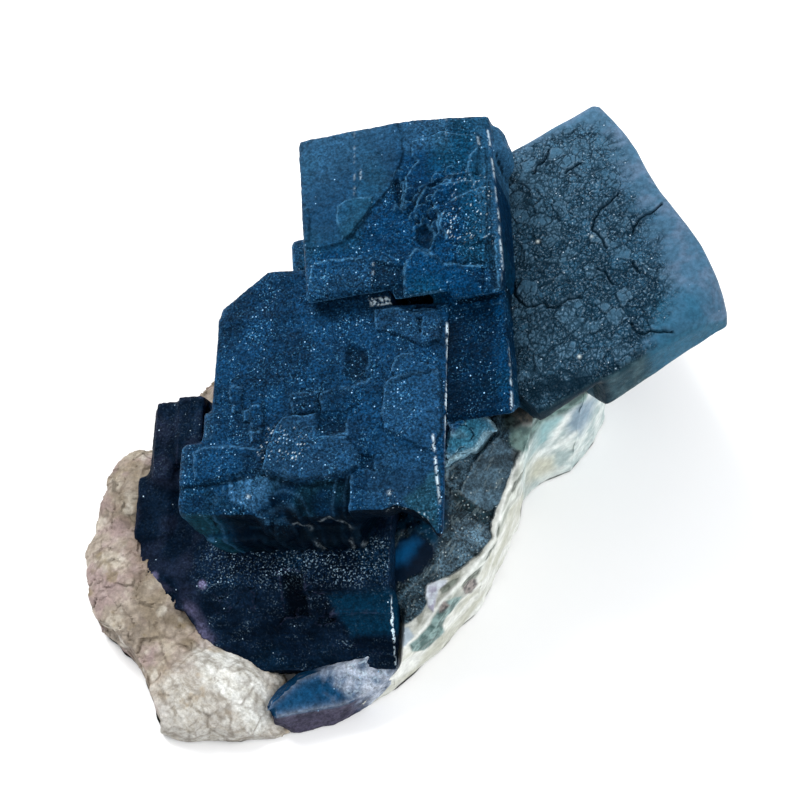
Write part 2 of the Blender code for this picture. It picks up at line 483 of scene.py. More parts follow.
def millimetres(stretch=(1.0, 1.0, 1.0), turns=(0.0, 0.0, 0.0)):
    """Object coordinates in millimetres, turned and then stretched."""
    place_of = new_node("ShaderNodeTexCoord", {}).outputs["Object"]
    scale = [MM / s for s in stretch]
    turn = [math.radians(t) for t in turns]
    mapping = new_node("ShaderNodeMapping", {"Vector": place_of, "Scale": scale, "Rotation": turn},
                       vector_type="TEXTURE")
    return mapping.outputs[0]


def cloud(where, size, detail=3.0, rough=0.55):
    """A soft noise from 0 to 1 with features of about that size."""
    made = new_node("ShaderNodeTexNoise", {
        "Vector": where, "Scale": 1.0 / size, "Detail": detail, "Roughness": rough})
    return made.outputs["Fac"]


def clouded(where, size, dark, light, spread=0.12, detail=3.0):
    """Two colours in clouds of about that size. The smaller the spread, the harder their borders."""
    return blend(eased(cloud(where, size, detail), 0.5 - spread, 0.5 + spread), dark, light)


def noted(name, share=1.0):
    """What note() stored on the piece, or a share of it."""
    value = new_node("ShaderNodeAttribute", {}, attribute_name=name).outputs["Fac"]
    return value if share == 1.0 else times(value, share)


def grey(value):
    return new_node("ShaderNodeCombineColor", {0: value, 1: value, 2: value}).outputs[0]


def salty(colour, where, size, low, high, detail=4.0, rough=0.7):
    """Darkens and lightens a colour in grains."""
    mottle = eased(cloud(where, size, detail, rough), 0.3, 0.7, low, high)
    return blend(1.0, colour, grey(mottle), "MULTIPLY")


def random_colour(where, scale, detail):
    """Three noises in one, for bending the coordinates of another pattern."""
    return new_node("ShaderNodeTexNoise", {"Vector": where, "Scale": scale, "Detail": detail}).outputs["Color"]


def vectors(operation, *values):
    return new_node("ShaderNodeVectorMath", dict(enumerate(values)), operation=operation).outputs[0]


def painted_glints(where, size, share, spot):
    """Painted glints: dots of one grain each. share is how many grains shine, and may vary over the piece."""
    grains = new_node("ShaderNodeTexVoronoi", {"Vector": where, "Scale": 1.0 / size, "Randomness": 1.0})
    dots = eased(grains.outputs["Distance"], spot, spot * 0.5)
    chance = new_node("ShaderNodeSeparateColor", {0: grains.outputs["Color"]})
    shining = maths("LESS_THAN", chance.outputs[0], share)
    strength = times(times(dots, shining), chance.outputs[1])
    return strength, grains.outputs["Distance"]


# %% [markdown]
# ## Frosted blue fluorite
#
# The blue of fluorite is in the body of the crystal, and the frost is on its skin. The
# material has both: plain transmission with an absorption that swallows red and then
# green, so thin edges glow teal and thick parts go nearly black, and over it a rough skin
# whose colour varies in clouds. Rims and proud edges are paler, partly from the frost,
# which scatters most there, and partly as a painted highlight. Creases are darker with
# painted shade. Painted glints stand for grains that catch the light.

# %% Fluorite finish
FLUORITE_IOR, QUARTZ_IOR = 1.434, 1.54


def fluorite(name, deep, body, pale, tint, glint_colour=(0.11, 0.38, 0.66), clear=0.06, salt=1.0,
             ridge_highlight=0.45, sparse=0.58):
    material = begin(name)
    where = millimetres()

    clouds = eased(cloud(where, 5.0), 0.35, 0.65)
    colour = blend(clouds, deep, body)
    colour = blend(noted("tint"), colour, tint)
    # Milky patches are the crystal's own; rims and proud edges are blended pale too, partly for their frost and
    # partly as a painted highlight.
    pallor = maths("MAXIMUM", noted("milk"), noted("rim", 0.75))
    painted_ridge_highlight = eased(noted("fold"), 0.02, 0.09, 0.0, ridge_highlight)
    colour = blend(maths("MAXIMUM", pallor, painted_ridge_highlight), colour, pale)

    # The frost is a salt of tiny grains, some lighter and some darker than the crystal.
    frost = noted("frost")
    mottle = eased(cloud(where, 0.6, 4.0, 0.7), 0.3, 0.7, 0.6, 1.4)
    grain = eased(cloud(where, 0.24, 2.0, 0.6), 0.36, 0.68, -0.45 * salt, 0.9 * salt)
    salted = maths("MULTIPLY_ADD", grain, maths("MULTIPLY_ADD", frost, 0.7, 0.3), 1.0)
    colour = blend(1.0, colour, grey(times(mottle, salted)), "MULTIPLY")
    # Painted shade: creases and the places each piece notes as dark go towards the deep colour. A few of those
    # notes are darker tones of the crystal itself.
    crease = eased(noted("fold"), -0.015, -0.08, 0.0, 0.85)
    dark = maths("MAXIMUM", crease, noted("dark"))
    colour = blend(dark, colour, tuple(c * 0.12 for c in deep))

    # Painted glints stand for grains that catch the light. They are dense and faint, with a few bright ones in
    # clumps.
    clumps = eased(cloud(where, 2.4, 3.0), 0.40, 0.66, 0.25, 1.0)
    shown = times(frost, maths("MULTIPLY_ADD", noted("dark"), -0.75, 1.0))
    glint_specks = eased(cloud(where, 0.21, 1.0, 0.6), sparse, sparse + 0.16)
    glint_specks = times(glint_specks, times(shown, clumps))
    colour = blend(times(glint_specks, 0.8), colour, tuple(0.62 * c for c in glint_colour))
    bright, bumps = painted_glints(where, 0.34, times(shown, maths("MULTIPLY_ADD", clumps, 0.32, -0.05)), 0.30)
    colour = blend(bright, colour, tuple(min(1.0, 0.2 + c) for c in glint_colour))
    # The noted lines are painted highlights and glints in pale blue-white, except on the stub, where they are
    # pale cracks in its icy end.
    broken = eased(cloud(where, 0.3, 2.0), 0.36, 0.52)
    colour = blend(times(noted("line"), broken), colour, (0.62, 0.78, 0.88))

    relief = maths("ADD", cloud(where, 0.24, 2.0, 0.6), times(bumps, 0.8))
    return surface(material, {
        "Base Color": colour, "Roughness": eased(cloud(where, 0.8), 0.3, 0.7, 0.34, 0.54), "IOR": FLUORITE_IOR,
        "Specular IOR Level": 0.02, "Specular Tint": (0.25, 0.5, 0.8, 1.0),
        "Transmission Weight": eased(noted("rim"), 0.0, 0.6, clear, clear + 0.25),
        "Normal": bumped(relief, 0.7)}, (0.1, 0.4, 0.6), 1600.0)


upper_finish = fluorite("teal_blue_fluorite", deep=(0.0008, 0.013, 0.038), body=(0.0008, 0.024, 0.070),
                        pale=(0.036, 0.118, 0.215), tint=(0.003, 0.040, 0.066))
middle_finish = fluorite("royal_blue_fluorite", deep=(0.0006, 0.010, 0.030), body=(0.0009, 0.021, 0.061),
                         pale=(0.034, 0.110, 0.215), tint=(0.005, 0.032, 0.040))
ledge_finish = fluorite("indigo_fluorite", deep=(0.0012, 0.0050, 0.014), body=(0.0035, 0.012, 0.030),
                        pale=(0.20, 0.19, 0.34), tint=(0.001, 0.022, 0.050), clear=0.04, ridge_highlight=0.08,
                        glint_colour=(0.38, 0.60, 0.78), sparse=0.55)
stub_finish = fluorite("bright_blue_fluorite", deep=(0.002, 0.028, 0.074), body=(0.007, 0.054, 0.128),
                       pale=(0.46, 0.51, 0.60), tint=(0.055, 0.050, 0.080), clear=0.10, salt=0.5)
chip_finish = fluorite("teal_fluorite", deep=(0.010, 0.090, 0.175), body=(0.040, 0.190, 0.300),
                       pale=(0.34, 0.52, 0.60), tint=(0.008, 0.090, 0.230), clear=0.12, salt=0.9)


# %% [markdown]
# ## The upper cube
#
# The upper cube carries the clearest growth steps: a milky plate at the upper left, lobed
# terraces that overlap like scales towards the right, two dark pits between them, and a
# square recess at its lower edge. Its blocks come first, then one skin, then the broad face
# is split finer than the sides, because it carries the detail.

# %% Upper cube: blocks and skin
upper_cube = joined("upper_cube", [
    block((-10.1, -9.8, -22.0), (11.3, 9.5, -0.35), 0.45),
    block((-0.6, -11.0, -20.2), (11.0, -6.0, -0.5), 0.35),
    block((5.4, -12.0, -19.6), (10.8, -9.0, -0.7), 0.35),
    block((6.0, 4.6, -9.0), (12.5, 9.4, -1.5), 1.4),
    block((3.0, -24.6, -21.0), (10.6, -11.0, -2.9), 0.5),
    block((-13.0, -3.8, -16.0), (-4.0, 0.2, -5.4), 0.5),
])
skin(upper_cube, 0.36)
refine(upper_cube, lambda c, n: (n[:, 2] > 0.5) & (c[:, 2] > -5.5), 2)
print("upper cube has", len(upper_cube.data.polygons), "faces")

# %% Upper cube: where its growth steps are
# Each terrace is an outline on the broad face, how far it rises and how soft its edge is.
UPPER_TERRACES = (
    ([(-12, 10.5), (1.3, 10.1), (1.9, 5.7), (1.3, 4.0), (0.8, 3.3), (0.2, 1.7), (-0.7, 0.8), (-1.8, -0.1),
      (-3.0, -1.7), (-4.1, -2.9), (-5.2, -3.7), (-6.9, -4.0), (-8.9, -3.8), (-12, -3.0)], 0.16, 0.3),
    ([(-5.9, 0.5), (-5.0, 1.1), (-3.1, 1.1), (-1.8, 0.9), (-2.1, -0.3), (-3.3, -1.7), (-4.7, -3.2),
      (-5.5, -3.5), (-6.0, -2.3), (-6.1, -0.6)], 0.16, 0.25),
    ([(-12, 1.8), (-9.1, 1.0), (-9.1, -0.8), (-9.1, -3.0), (-10.2, -3.0), (-12, -2.4)], 0.10, 0.25),
    ([(1.7, 2.6), (1.8, 1.4), (1.4, 0.2), (1.2, -0.7), (1.7, -1.4), (2.5, -1.0), (3.2, 0.0), (4.2, 1.0),
      (5.5, 1.4), (7.2, 1.6), (9.6, 1.5), (10.3, 6.6), (6.0, 7.5), (2.8, 6.7), (2.5, 5.0), (3.2, 4.1),
      (2.4, 3.5)], 0.24, 0.25),
    ([(3.9, 0.8), (3.1, -0.1), (2.4, -1.5), (2.5, -2.7), (3.2, -3.1), (3.9, -2.3), (4.5, -1.2),
      (4.9, -2.5), (4.8, -4.3), (4.1, -5.4), (3.6, -6.4), (3.9, -7.2), (5.3, -8.1), (7.9, -8.5),
      (9.6, -8.8), (10.8, 0.4), (7.9, 0.9), (5.5, 0.9)], 0.28, 0.25),
    ([(5.3, -2.7), (5.9, -1.7), (6.9, -1.0), (8.6, -0.4), (10.8, -0.3), (10.4, -6.5), (8.1, -6.7),
      (5.7, -5.6), (5.1, -4.1)], 0.14, 0.25),
    ([(8.5, 2.0), (8.8, 3.7), (9.8, 4.8), (10.5, 4.9), (10.7, 3.9), (10.4, -1.9), (9.6, -1.7)], 0.12, 0.25),
    ([(0.4, 2.2), (1.0, 2.5), (1.4, 1.7), (1.1, 0.4), (1.0, -0.8), (0.6, -0.5), (0.4, 1.0)], -0.28, 0.4),
    ([(2.7, -3.8), (3.6, -3.4), (4.1, -4.3), (4.2, -5.3), (3.6, -6.2), (2.9, -5.8), (2.5, -5.0)], -0.30, 0.4),
    ([(-9.0, -5.5), (-7.0, -5.5), (-2.4, -6.0), (-2.6, -11.0), (-6.7, -10.3), (-8.3, -9.1), (-9.6, -7.5)], 0.12,
     0.2),
    ([(-2.2, -6.5), (0.7, -7.7), (0.5, -11.4), (-2.5, -10.9)], -0.28, 0.25),
    ([(0.8, -7.7), (2.2, -5.9), (3.6, -6.6), (5.3, -8.1), (7.9, -8.8), (9.3, -9.0), (8.8, -13.2),
      (0.5, -11.8)], 0.10, 0.2),
    ([(10.2, -6.0), (10.6, -6.3), (10.5, -9.0), (10.4, -11.6), (9.9, -11.8), (9.9, -8.9)], -0.25, 0.3),
)
MILKY_PLATE, SMALL_PLATE, _, _, RIGHT_LOBE, BRIGHT_LOBE, *_ = [terrace[0] for terrace in UPPER_TERRACES]
UPPER_PITS = [UPPER_TERRACES[i][0] for i in (7, 8, 10, 12)]  # those that go down and lie in shade
# Small rounded scales overlap along the boundary of the lobed terraces: place and radius.
UPPER_SCALES = (
    (1.6, 1.5, 0.6), (1.5, 0.1, 0.6), (2.3, 0.6, 0.6), (1.9, -1.1, 0.7), (3.0, -0.3, 0.6), (3.7, 0.6, 0.6),
    (2.4, -2.2, 0.6), (3.4, -1.7, 0.7), (3.6, -3.2, 0.6), (4.4, -0.7, 0.6), (4.5, -2.2, 0.6), (2.7, -3.7, 0.6),
    (5.4, -0.5, 0.8), (6.2, 0.6, 0.9), (7.4, 1.0, 0.9), (4.9, -3.7, 0.7), (8.7, 1.0, 0.7), (4.6, -5.4, 0.8),
    (5.2, 1.6, 0.7), (6.8, 2.2, 0.7), (0.8, -0.9, 0.6), (1.1, 2.9, 0.7))


def terraced(flat, terraces):
    rise = np.zeros(len(flat))
    for outline, height, soft in terraces:
        rise += height * inside(flat, outline, soft)
    return rise


def scaly(flat, scales, height):
    """Rounded scales like fallen coins, and where their rims are lit from the upper left."""
    rise, lit = np.zeros(len(flat)), np.zeros(len(flat))
    for x, y, radius in scales:
        away = flat - (x, y)
        share = np.linalg.norm(away, axis=1) / radius
        dome = height * (1 - steps(share, 0.8, 1.05)) * (1.0 - 0.35 * (away[:, 0] - away[:, 1]) / radius)
        higher = dome > rise
        rise[higher] = dome[higher]
        facing = most((away[:, 1] - away[:, 0]) / (1.2 * radius))
        lit = np.maximum(lit, np.exp(-(((share - 0.9) / 0.16) ** 2)) * facing)
    return rise, lit


def roughen(points, normals, seed, broad, medium, fine):
    """Frost: three sizes of noise along the normals."""
    rise = (broad * wander(points, 3.0, seed) + medium * wander(points, 0.8, seed + 1)
            + fine * wander(points, 0.35, seed + 2))
    points += normals * rise[:, None]


def frosted_rim(points, inward, width, reach):
    """The pale rim along an edge, from how far inward each point lies. It fades with depth."""
    fading = np.exp(np.clip(points[:, 2] + 1.5 * wander(points, 3.0, 12), None, 0) / reach)
    return 0.5 * np.exp(-np.clip(inward, 0, None) / width) * fading


# Painted highlights: thin pale lines along its edges, where they catch the light. How strong each is, and where
# it runs.
UPPER_EDGE_HIGHLIGHTS = (
    (1.0, [(11.0, 6.4), (11.3, 0.4), (11.2, -7.7), (10.9, -13.2), (10.6, -18.7), (10.3, -24.0)]),
    (0.35, [(-3.5, 9.5), (-3.8, 4.0), (-4.0, 0.9)]),
    (0.3, [(6.7, 8.8), (6.5, 5.4)]),
    (0.6, [(-3.1, 4.3), (-3.3, 1.9)]),
    (0.6, [(9.0, 7.0), (9.9, 6.2), (10.0, 4.9)]),
    (0.4, [(-2.4, -6.1), (-2.5, -8.0)]),
)

# %% Upper cube: carving
# x, y, z and above are windows on the points, so a change to one of them moves the points.
points, normals = read(upper_cube)
x, y, z = points.T
above = points[:, :2]
plate = steps(normals[:, 2], 0.3, 0.8) * (z > -1.6)
flat = ragged(points, 1.1, 0.2, 1)
scales, scale_rims = scaly(flat, UPPER_SCALES, 0.20)
lit, shaded = edged(flat, UPPER_TERRACES)
tiles = tiled(points, 2.6, 4, 0.12, 1.0, 3)
tiles_small = tiled(points, 0.9, 5, 0.10, 0.8, 5)
z += plate * (terraced(flat, UPPER_TERRACES) + scales + 0.06 * tiles + 0.05 * tiles_small)
y -= 0.14 * np.clip(x - 3.0, 0, None) * steps(y, 2.0, 9.0)
# The front edge is broken back underneath, and so is the edge of the lower step.
y += 0.5 * np.clip(-0.9 - z, 0, 4) * steps(-y, 7.0, 9.0) * (y > -12.4) * (x < 11.4)
y += 0.45 * np.clip(-2.9 - z, 0, None) * steps(-y, 16.0, 24.0)
roughen(points, normals, 2, 0.08, 0.05, 0.04)
write(upper_cube, points)

# %% Upper cube: notes for its finish
edge = np.minimum.reduce([x + 10.2, 9.3 - y])
lines = np.max([share * near_line(above, line, 0.10) for share, line in UPPER_EDGE_HIGHLIGHTS], axis=0)
facing_up = steps(normals[:, 2], 0.0, 0.4)
lower_step = steps(-y, 11.0, 12.0) * (z < -1.5)
glints = patchy(points, 0.17, 10, 0.42, 0.52) * patchy(points, 1.1, 11, -0.15, 0.25)
bright = np.maximum(inside(flat, BRIGHT_LOBE, 1.2),
                    0.6 * inside(flat, [(5.4, 1.4), (10.6, 2.0), (10.6, -1.0), (7.0, -1.0)], 1.0))
haze = inside(flat, MILKY_PLATE, 2.5) * plate * (0.25 + 0.35 * steps(y - 0.5 * x, 4, 12))
rims = np.maximum(lit, scale_rims) * plate * patchy(points, 0.9, 8, -0.7, 0.2)
right_side = (x > 11.2) * (y > 1.5) * steps(-z, 0.6, 1.2)
teal_top = inside(flat, [(4.9, 7.5), (11.3, 6.2), (10.9, 0.9), (4.5, 2.8)], 2.5)
smooth_plate = inside(flat, MILKY_PLATE, 1.5) * plate
# Painted shadow, cast by the middle cube over the left of the lower step.
shade = 0.8 * lower_step * steps(-x, -8.0, -4.5) * steps(-y, 12.0, 14.0)
shade_in_pits = 0.65 * plate * patch(flat, UPPER_PITS, 0.5)
shaded_side_wall = steps(normals[:, 0], 0.5, 0.8) * (z < -0.6) * (y < 3.0)
# Painted light in these notes: line holds painted highlights along edges and painted glints; milk holds milky
# patches and painted highlights on lit rims; dark holds painted shade in pits, on the side wall, on shaded rims
# and over the lower step.
note(upper_cube,
     line=most(0.6 * lines * facing_up * patchy(points, 0.7, 7, -0.2, 0.25) + 0.9 * glints * bright * plate),
     rim=frosted_rim(points, edge, 0.7, 4.5),
     milk=most(0.75 * haze, 1.0 * rims, 0.5 * right_side,
               0.08 * plate * steps(-y, 5.0, 6.5) * steps(-x, -1.0, 1.0) * (1 - lower_step),
               0.28 * plate * inside(flat, [(-2.0, 10.0), (7.0, 9.8), (6.5, 5.4), (1.5, 5.4)], 2.0),
               0.22 * plate * steps(x + 0.02 * y, 8.8, 10.6)),
     tint=most(np.maximum(0.28 * inside(flat, SMALL_PLATE, 0.4), 0.35 * teal_top) * plate
               + 0.3 * patchy(points, 6.0, 9, 0.1, 0.5)),
     frost=np.clip((0.55 + 0.45 * patchy(points, 3.0, 6, -0.3, 0.3)) * (1 - 0.75 * smooth_plate)
                   + 0.2 * (y < -5) + 0.2 * (y < -5) * steps(-x, -1.0, 1.0), 0, 1.2)
     * (1 + 0.2 * inside(flat, BRIGHT_LOBE, 1.2) + 0.2 * inside(flat, RIGHT_LOBE, 1.2))
     * (1 - 0.75 * steps(x, 10.6, 11.2)),
     dark=most(shade_in_pits, 0.45 * shaded_side_wall, shade, 0.75 * shaded * plate, 0.55 * lower_step * steps(-x, -10.2, -8.6)),
     fold=folds(upper_cube))
place(upper_cube, upper_finish, 50, UPPER, "cube_cluster", "blue_fluorite")

# %% [markdown]
# ## The middle cube
#
# The middle cube has the largest face. It is frosted all over, with low square plates near
# the middle, a proud block at the left and a corner cut off at the upper left. Towards the
# front the face breaks into a scarp and rolls down over a dark, shelly break, and its right
# front corner runs furthest out. Grains on the middle plate and along the front glint.

# %% Middle cube: blocks and skin
middle_cube = joined("middle_cube", [
    block((-13.4, -11.0, -18.5), (12.4, 11.5, -0.3), 0.4),
    block((-14.3, -10.0, -14.0), (-9.0, 0.6, -0.4), 0.4),
    block((-16.6, -10.9, -9.4), (-8.0, -2.8, -0.1), 0.8),
    block((-16.0, -11.6, -13.2), (-9.4, -4.0, -3.0), 0.6),
    block((-8.4, 8.0, -17.9), (6.0, 16.5, -0.5), 0.6),
    block((-14.8, -12.6, -13.9), (2.0, -8.0, -4.1), 0.5),
    lump((-6.2, -10.4, -2.9), (2.2, 2.2, 2.7)),
])
corner = block((-3.7, -5.0, -17.2), (3.7, 5.0, -0.5), 0.6)
stand(corner, ((-7.6, 10.5, 0.0), (0.0, 0.0, 39.5)))
middle_cube = joined("middle_cube", [corner, middle_cube])
skin(middle_cube, 0.37)
refine(middle_cube, lambda c, n: (n[:, 2] > 0.5) & (c[:, 2] > -2.5), 2)
refine(middle_cube, lambda c, n: (n[:, 1] < -0.3) & (n[:, 2] < 0.5) & (c[:, 1] < -8), 1)
print("middle cube has", len(middle_cube.data.polygons), "faces")

# %% Middle cube: where its growth steps are
MIDDLE_TERRACES = (
    ([(-11.4, 3.3), (-9.8, 3.1), (-9.6, 0.3), (-10.8, 0.2), (-11.3, 1.6)], 0.24, 0.2),
    ([(-9.8, 0.3), (-8.6, 0.8), (-8.6, -0.8), (-9.6, -0.8)], 0.21, 0.2),
    ([(-8.8, 1.1), (-7.4, 1.0), (-7.2, -1.9), (-8.6, -1.8), (-8.9, -0.7)], 0.33, 0.2),
    ([(-8.8, -1.9), (-7.3, -1.9), (-7.3, -3.1), (-8.6, -3.1)], 0.15, 0.2),
    ([(-4.4, 1.9), (-3.8, 2.2), (-1.4, 2.2), (-1.3, -0.1), (-4.1, -0.3)], 0.27, 0.2),
    ([(-5.5, -1.0), (-5.1, -0.5), (-1.5, -0.3), (-1.1, -2.1), (-0.7, -2.8), (1.8, -3.0), (3.3, -4.7),
      (3.6, -6.2), (2.5, -6.6), (0.4, -7.2), (-2.3, -7.4), (-4.3, -7.2), (-5.7, -6.6), (-7.1, -6.2),
      (-6.8, -3.9), (-6.2, -2.4)], 0.33, 0.25),
    ([(-14.9, -4.0), (-13.6, -3.4), (-10.2, -3.5), (-7.2, -3.8), (-7.1, -6.1), (-8.1, -6.4),
      (-11.1, -6.9), (-13.5, -7.3), (-14.4, -7.1)], 0.24, 0.25),
    ([(6.5, 3.8), (6.8, 5.4), (7.5, 5.9), (8.7, 5.9), (9.5, 4.8), (11.3, 4.3), (11.5, 3.6), (9.6, 3.6),
      (7.4, 3.1)], 0.30, 0.2),
    ([(5.7, 1.0), (5.8, 2.7), (6.6, 3.3), (9.5, 3.7), (11.7, 3.6), (12.1, -2.7), (10.9, -4.8), (6.0, -2.4),
      (5.5, -0.5)], 0.24, 0.2),
    ([(4.3, 11.0), (7.1, 11.1), (8.5, 10.4), (11.1, 10.6), (11.7, 9.5), (11.6, 7.1), (9.9, 6.6),
      (7.3, 7.9), (4.6, 8.6)], 0.27, 0.2),
    ([(0.2, 2.5), (2.6, 2.4), (3.0, 0.7), (1.7, -0.3), (-0.9, -0.1), (-1.2, 1.8)], 0.18, 0.2),
    ([(1.5, 6.3), (1.9, 7.1), (3.6, 6.4), (3.8, 3.3), (2.3, 2.7), (1.6, 3.8)], -0.22, 0.5),
    ([(-1.1, -0.4), (1.7, -0.9), (1.8, -2.5), (-0.3, -2.7), (-1.0, -2.1)], -0.20, 0.4),
    ([(9.0, 9.7), (9.5, 9.6), (9.6, 8.0), (9.3, 7.9)], -0.25, 0.25),
    ([(3.4, -4.7), (4.8, -5.1), (5.0, -6.7), (3.8, -6.4)], -0.3, 0.4),
    ([(8.5, 12.4), (11.0, 12.4), (11.0, 10.9), (8.6, 10.9)], -0.4, 0.25),
)
MIDDLE_PITS = [terrace[0] for terrace in MIDDLE_TERRACES[11:]]
DARK_TILE, CENTRE_PLATE, _, UPPER_TILE, RIGHT_PLATE, FAR_PLATE, DARK_TILE_BEHIND = [
    terrace[0] for terrace in MIDDLE_TERRACES[4:11]]
# The scarp runs across the left half of the face, then turns down towards the front.
# Everything in front of it lies lower and rolls down.
SCARP = [(-18.0, -7.7), (-13.5, -7.5), (-11.1, -7.2), (-8.1, -6.6), (-7.0, -6.4), (-5.6, -6.8), (-3.9, -7.4),
         (-2.3, -7.6), (0.4, -7.4), (2.4, -6.9), (2.5, -8.6), (2.3, -10.8), (4.3, -11.3), (7.7, -11.6),
         (13.0, -11.8)]
FRONT = SCARP + [(13.0, -14.0), (-18.0, -14.0)]
SCARP_X = (-18.0, -13.5, -11.1, -8.1, -7.0, -5.6, -3.9, -2.3, 0.4, 2.4, 2.6, 13.0)
SCARP_Y = (-7.7, -7.5, -7.2, -6.6, -6.4, -6.8, -7.4, -7.6, -7.4, -6.9, -11.0, -11.6)
# Its front edge runs further out towards the right corner.
FRONT_X = (6.0, 7.4, 9.2, 10.6, 11.8, 12.6)
FRONT_REACH = (0.0, -0.5, 0.1, 1.0, 2.6, 2.3)
GREEN_CORNER = [(8.2, -9.9), (9.9, -8.1), (11.7, -6.4), (11.9, -10.5), (10.0, -11.2), (8.7, -10.7)]
SPARK = [(-8.4, -2.4), (-6.7, -1.6), (-3.2, -1.8), (-0.7, -2.2), (-0.7, -3.2), (-2.4, -4.0), (-3.4, -5.3),
         (-7.1, -5.2), (-7.9, -3.8)]
# Shelly ripples: centre, radius of the middle ripple, spread and height.
SHELLS = ((-5.6, -11.6, 2.4, 1.8, 0.16), (8.6, -10.0, 7.6, 1.6, 0.12), (-10.0, -11.0, 2.6, 1.5, 0.10))
FRONT_GLINTS = [(6.4, -10.4), (7.9, -10.6), (9.3, -10.9), (10.6, -11.8), (11.6, -12.9)]
# Glittering arcs on the front, as X and Z.
FRONT_ARCS = ([(-4.5, -3.6), (-3.6, -4.6), (-3.0, -6.2), (-2.8, -8.5), (-2.9, -11.5)],
              [(-1.6, -3.2), (-0.4, -2.6), (0.6, -3.2), (1.2, -5.8), (0.5, -9.4)],
              [(1.7, -8.2), (1.7, -10.6), (2.3, -11.6), (3.6, -10.4)])
SCRATCHES = ([(-11.3, -9.3), (-10.9, -7.9), (-9.4, -7.4), (-7.0, -7.0), (-4.9, -6.9)],
             [(-8.5, -9.4), (-8.0, -8.3), (-8.1, -10.3), (-6.6, -12.6)])

# %% Middle cube: carving
points, normals = read(middle_cube)
x, y, z = points.T
above = points[:, :2]
# Its right side slants inwards, down into the paler seam.
x -= 0.32 * np.clip(-0.5 - z, 0, None) * steps(x, 5.0, 12.0)
plate = steps(normals[:, 2], 0.3, 0.8) * (z > -1.8)
front = steps(-normals[:, 1], 0.3, 0.8)
flat = ragged(points, 1.1, 0.2, 21)
lit, shaded = edged(flat, MIDDLE_TERRACES, 0.17)
tiles = tiled(points, 2.2, 23, 0.12, 1.0, 22)
tiles_small = tiled(points, 0.8, 24, 0.10, 0.8, 24)
z += plate * (terraced(flat, MIDDLE_TERRACES) + 0.07 * tiles + 0.05 * tiles_small)
behind = inside(flat, FRONT, 0.35)
scarp_y = np.interp(x, SCARP_X, SCARP_Y)
roll = np.clip((scarp_y - y) / 4.6, 0, 1.2)
slump = steps(x, -9.0, -6.5) * steps(-x, -2.6, -2.2)
z -= np.clip(z + 12, 0, 12) / 12 * behind * ((0.22 + 0.35 * slump) + (0.4 + 2.2 * slump) * roll ** 1.6)
broken = np.maximum(behind * np.maximum(slump, 0.3), 0.8 * front)
ripple = np.zeros(len(points))
for i, (centre_x, centre_y, radius, spread, height) in enumerate(SHELLS):
    away = np.hypot(x - centre_x, y - centre_y - 0.25 * z) + 0.3 * wander(points, 2.0, 30 + i)
    ripple += height * np.sin(away * 5.5) * np.exp(-(((away - radius) / spread) ** 2))
y -= np.interp(x, FRONT_X, FRONT_REACH) * steps(-y, 6.5, 10.6)
# Low down on the right, the front is broken back underneath.
y += 0.55 * np.clip(-2.6 - z, 0, 9) * steps(x, 1.0, 5.0) * steps(-y, -6.0, 10.0)
points += normals * (ripple * broken + 0.16 * wander(points, 1.3, 34) * broken)[:, None]
roughen(points, normals, 23, 0.08, 0.05, 0.04)
write(middle_cube, points)

# %% Middle cube: notes for its finish
edge = np.minimum.reduce([x + 13.6 + 2.8 * (y < -2.6), 16.6 - y, x * 0.77 - y * 0.63 + 17.6])
# Painted highlights along the right edge.
fringe = lined(above, ([(12.2, 9.0), (12.4, 3.2), (12.3, 0.5), (12.4, -3.8), (12.4, -6.0)],
                        [(11.1, -3.2), (11.5, -6.9), (12.0, -10.4)]), 0.10) * (z > -2.5)
arcs = lined(points[:, (0, 2)], FRONT_ARCS, 0.11) * front
calm = inside(flat, [(5.5, -3.5), (11.8, -4.5), (12.0, -11.0), (3.5, -11.0)], 2.0)
glints = patchy(points, 0.17, 39, 0.42, 0.52) * patchy(points, 1.1, 60, -0.3, 0.1)
glint_specks = dot(above, (6.7, -9.0), 0.2) + dot(above, (-8.6, -8.9), 0.16)
sparkling = (inside(above, [(3.6, 12.4), (7.8, 12.6), (7.9, 11.7), (3.8, 11.5)], 0.3)
             * patchy(points, 0.25, 37, -0.15, 0.25))
shade = steps(x, -13.5, -10.5)
scratches = lined(above, SCRATCHES, 0.8) * patchy(points * (1.0, 0.35, 0.6), 0.5, 28, -0.1, 0.4)
crest = steps(ripple, 0.03, 0.10) * broken * 0.5
ridge = near_line(above, [(2.5, -7.2), (2.4, -8.6), (2.3, -10.8)], 0.28)
fan = inside(flat, [(-10.6, -9.3), (-9.5, -6.9), (-6.4, -6.4), (-5.9, -7.3), (-6.8, -9.4), (-8.1, -10.3)], 0.8)
shade_in_pits = 0.6 * plate * patch(flat, MIDDLE_PITS, 0.5)
cleft = near_line(above, [(-17.0, -7.9), (-13.5, -7.7), (-11.1, -7.4), (-8.6, -6.9)], 0.25)
# Painted shadow along the foot of the scarp, under the big plate.
shadow_under_scarp = near_line(above, [(-6.5, -6.9), (-3.9, -7.7), (-2.3, -7.9), (0.4, -7.7), (2.0, -7.3)], 0.35)
pattern = patchy(points * (1.0, 0.7, 0.7), 1.4, 36, -0.3, 0.3)
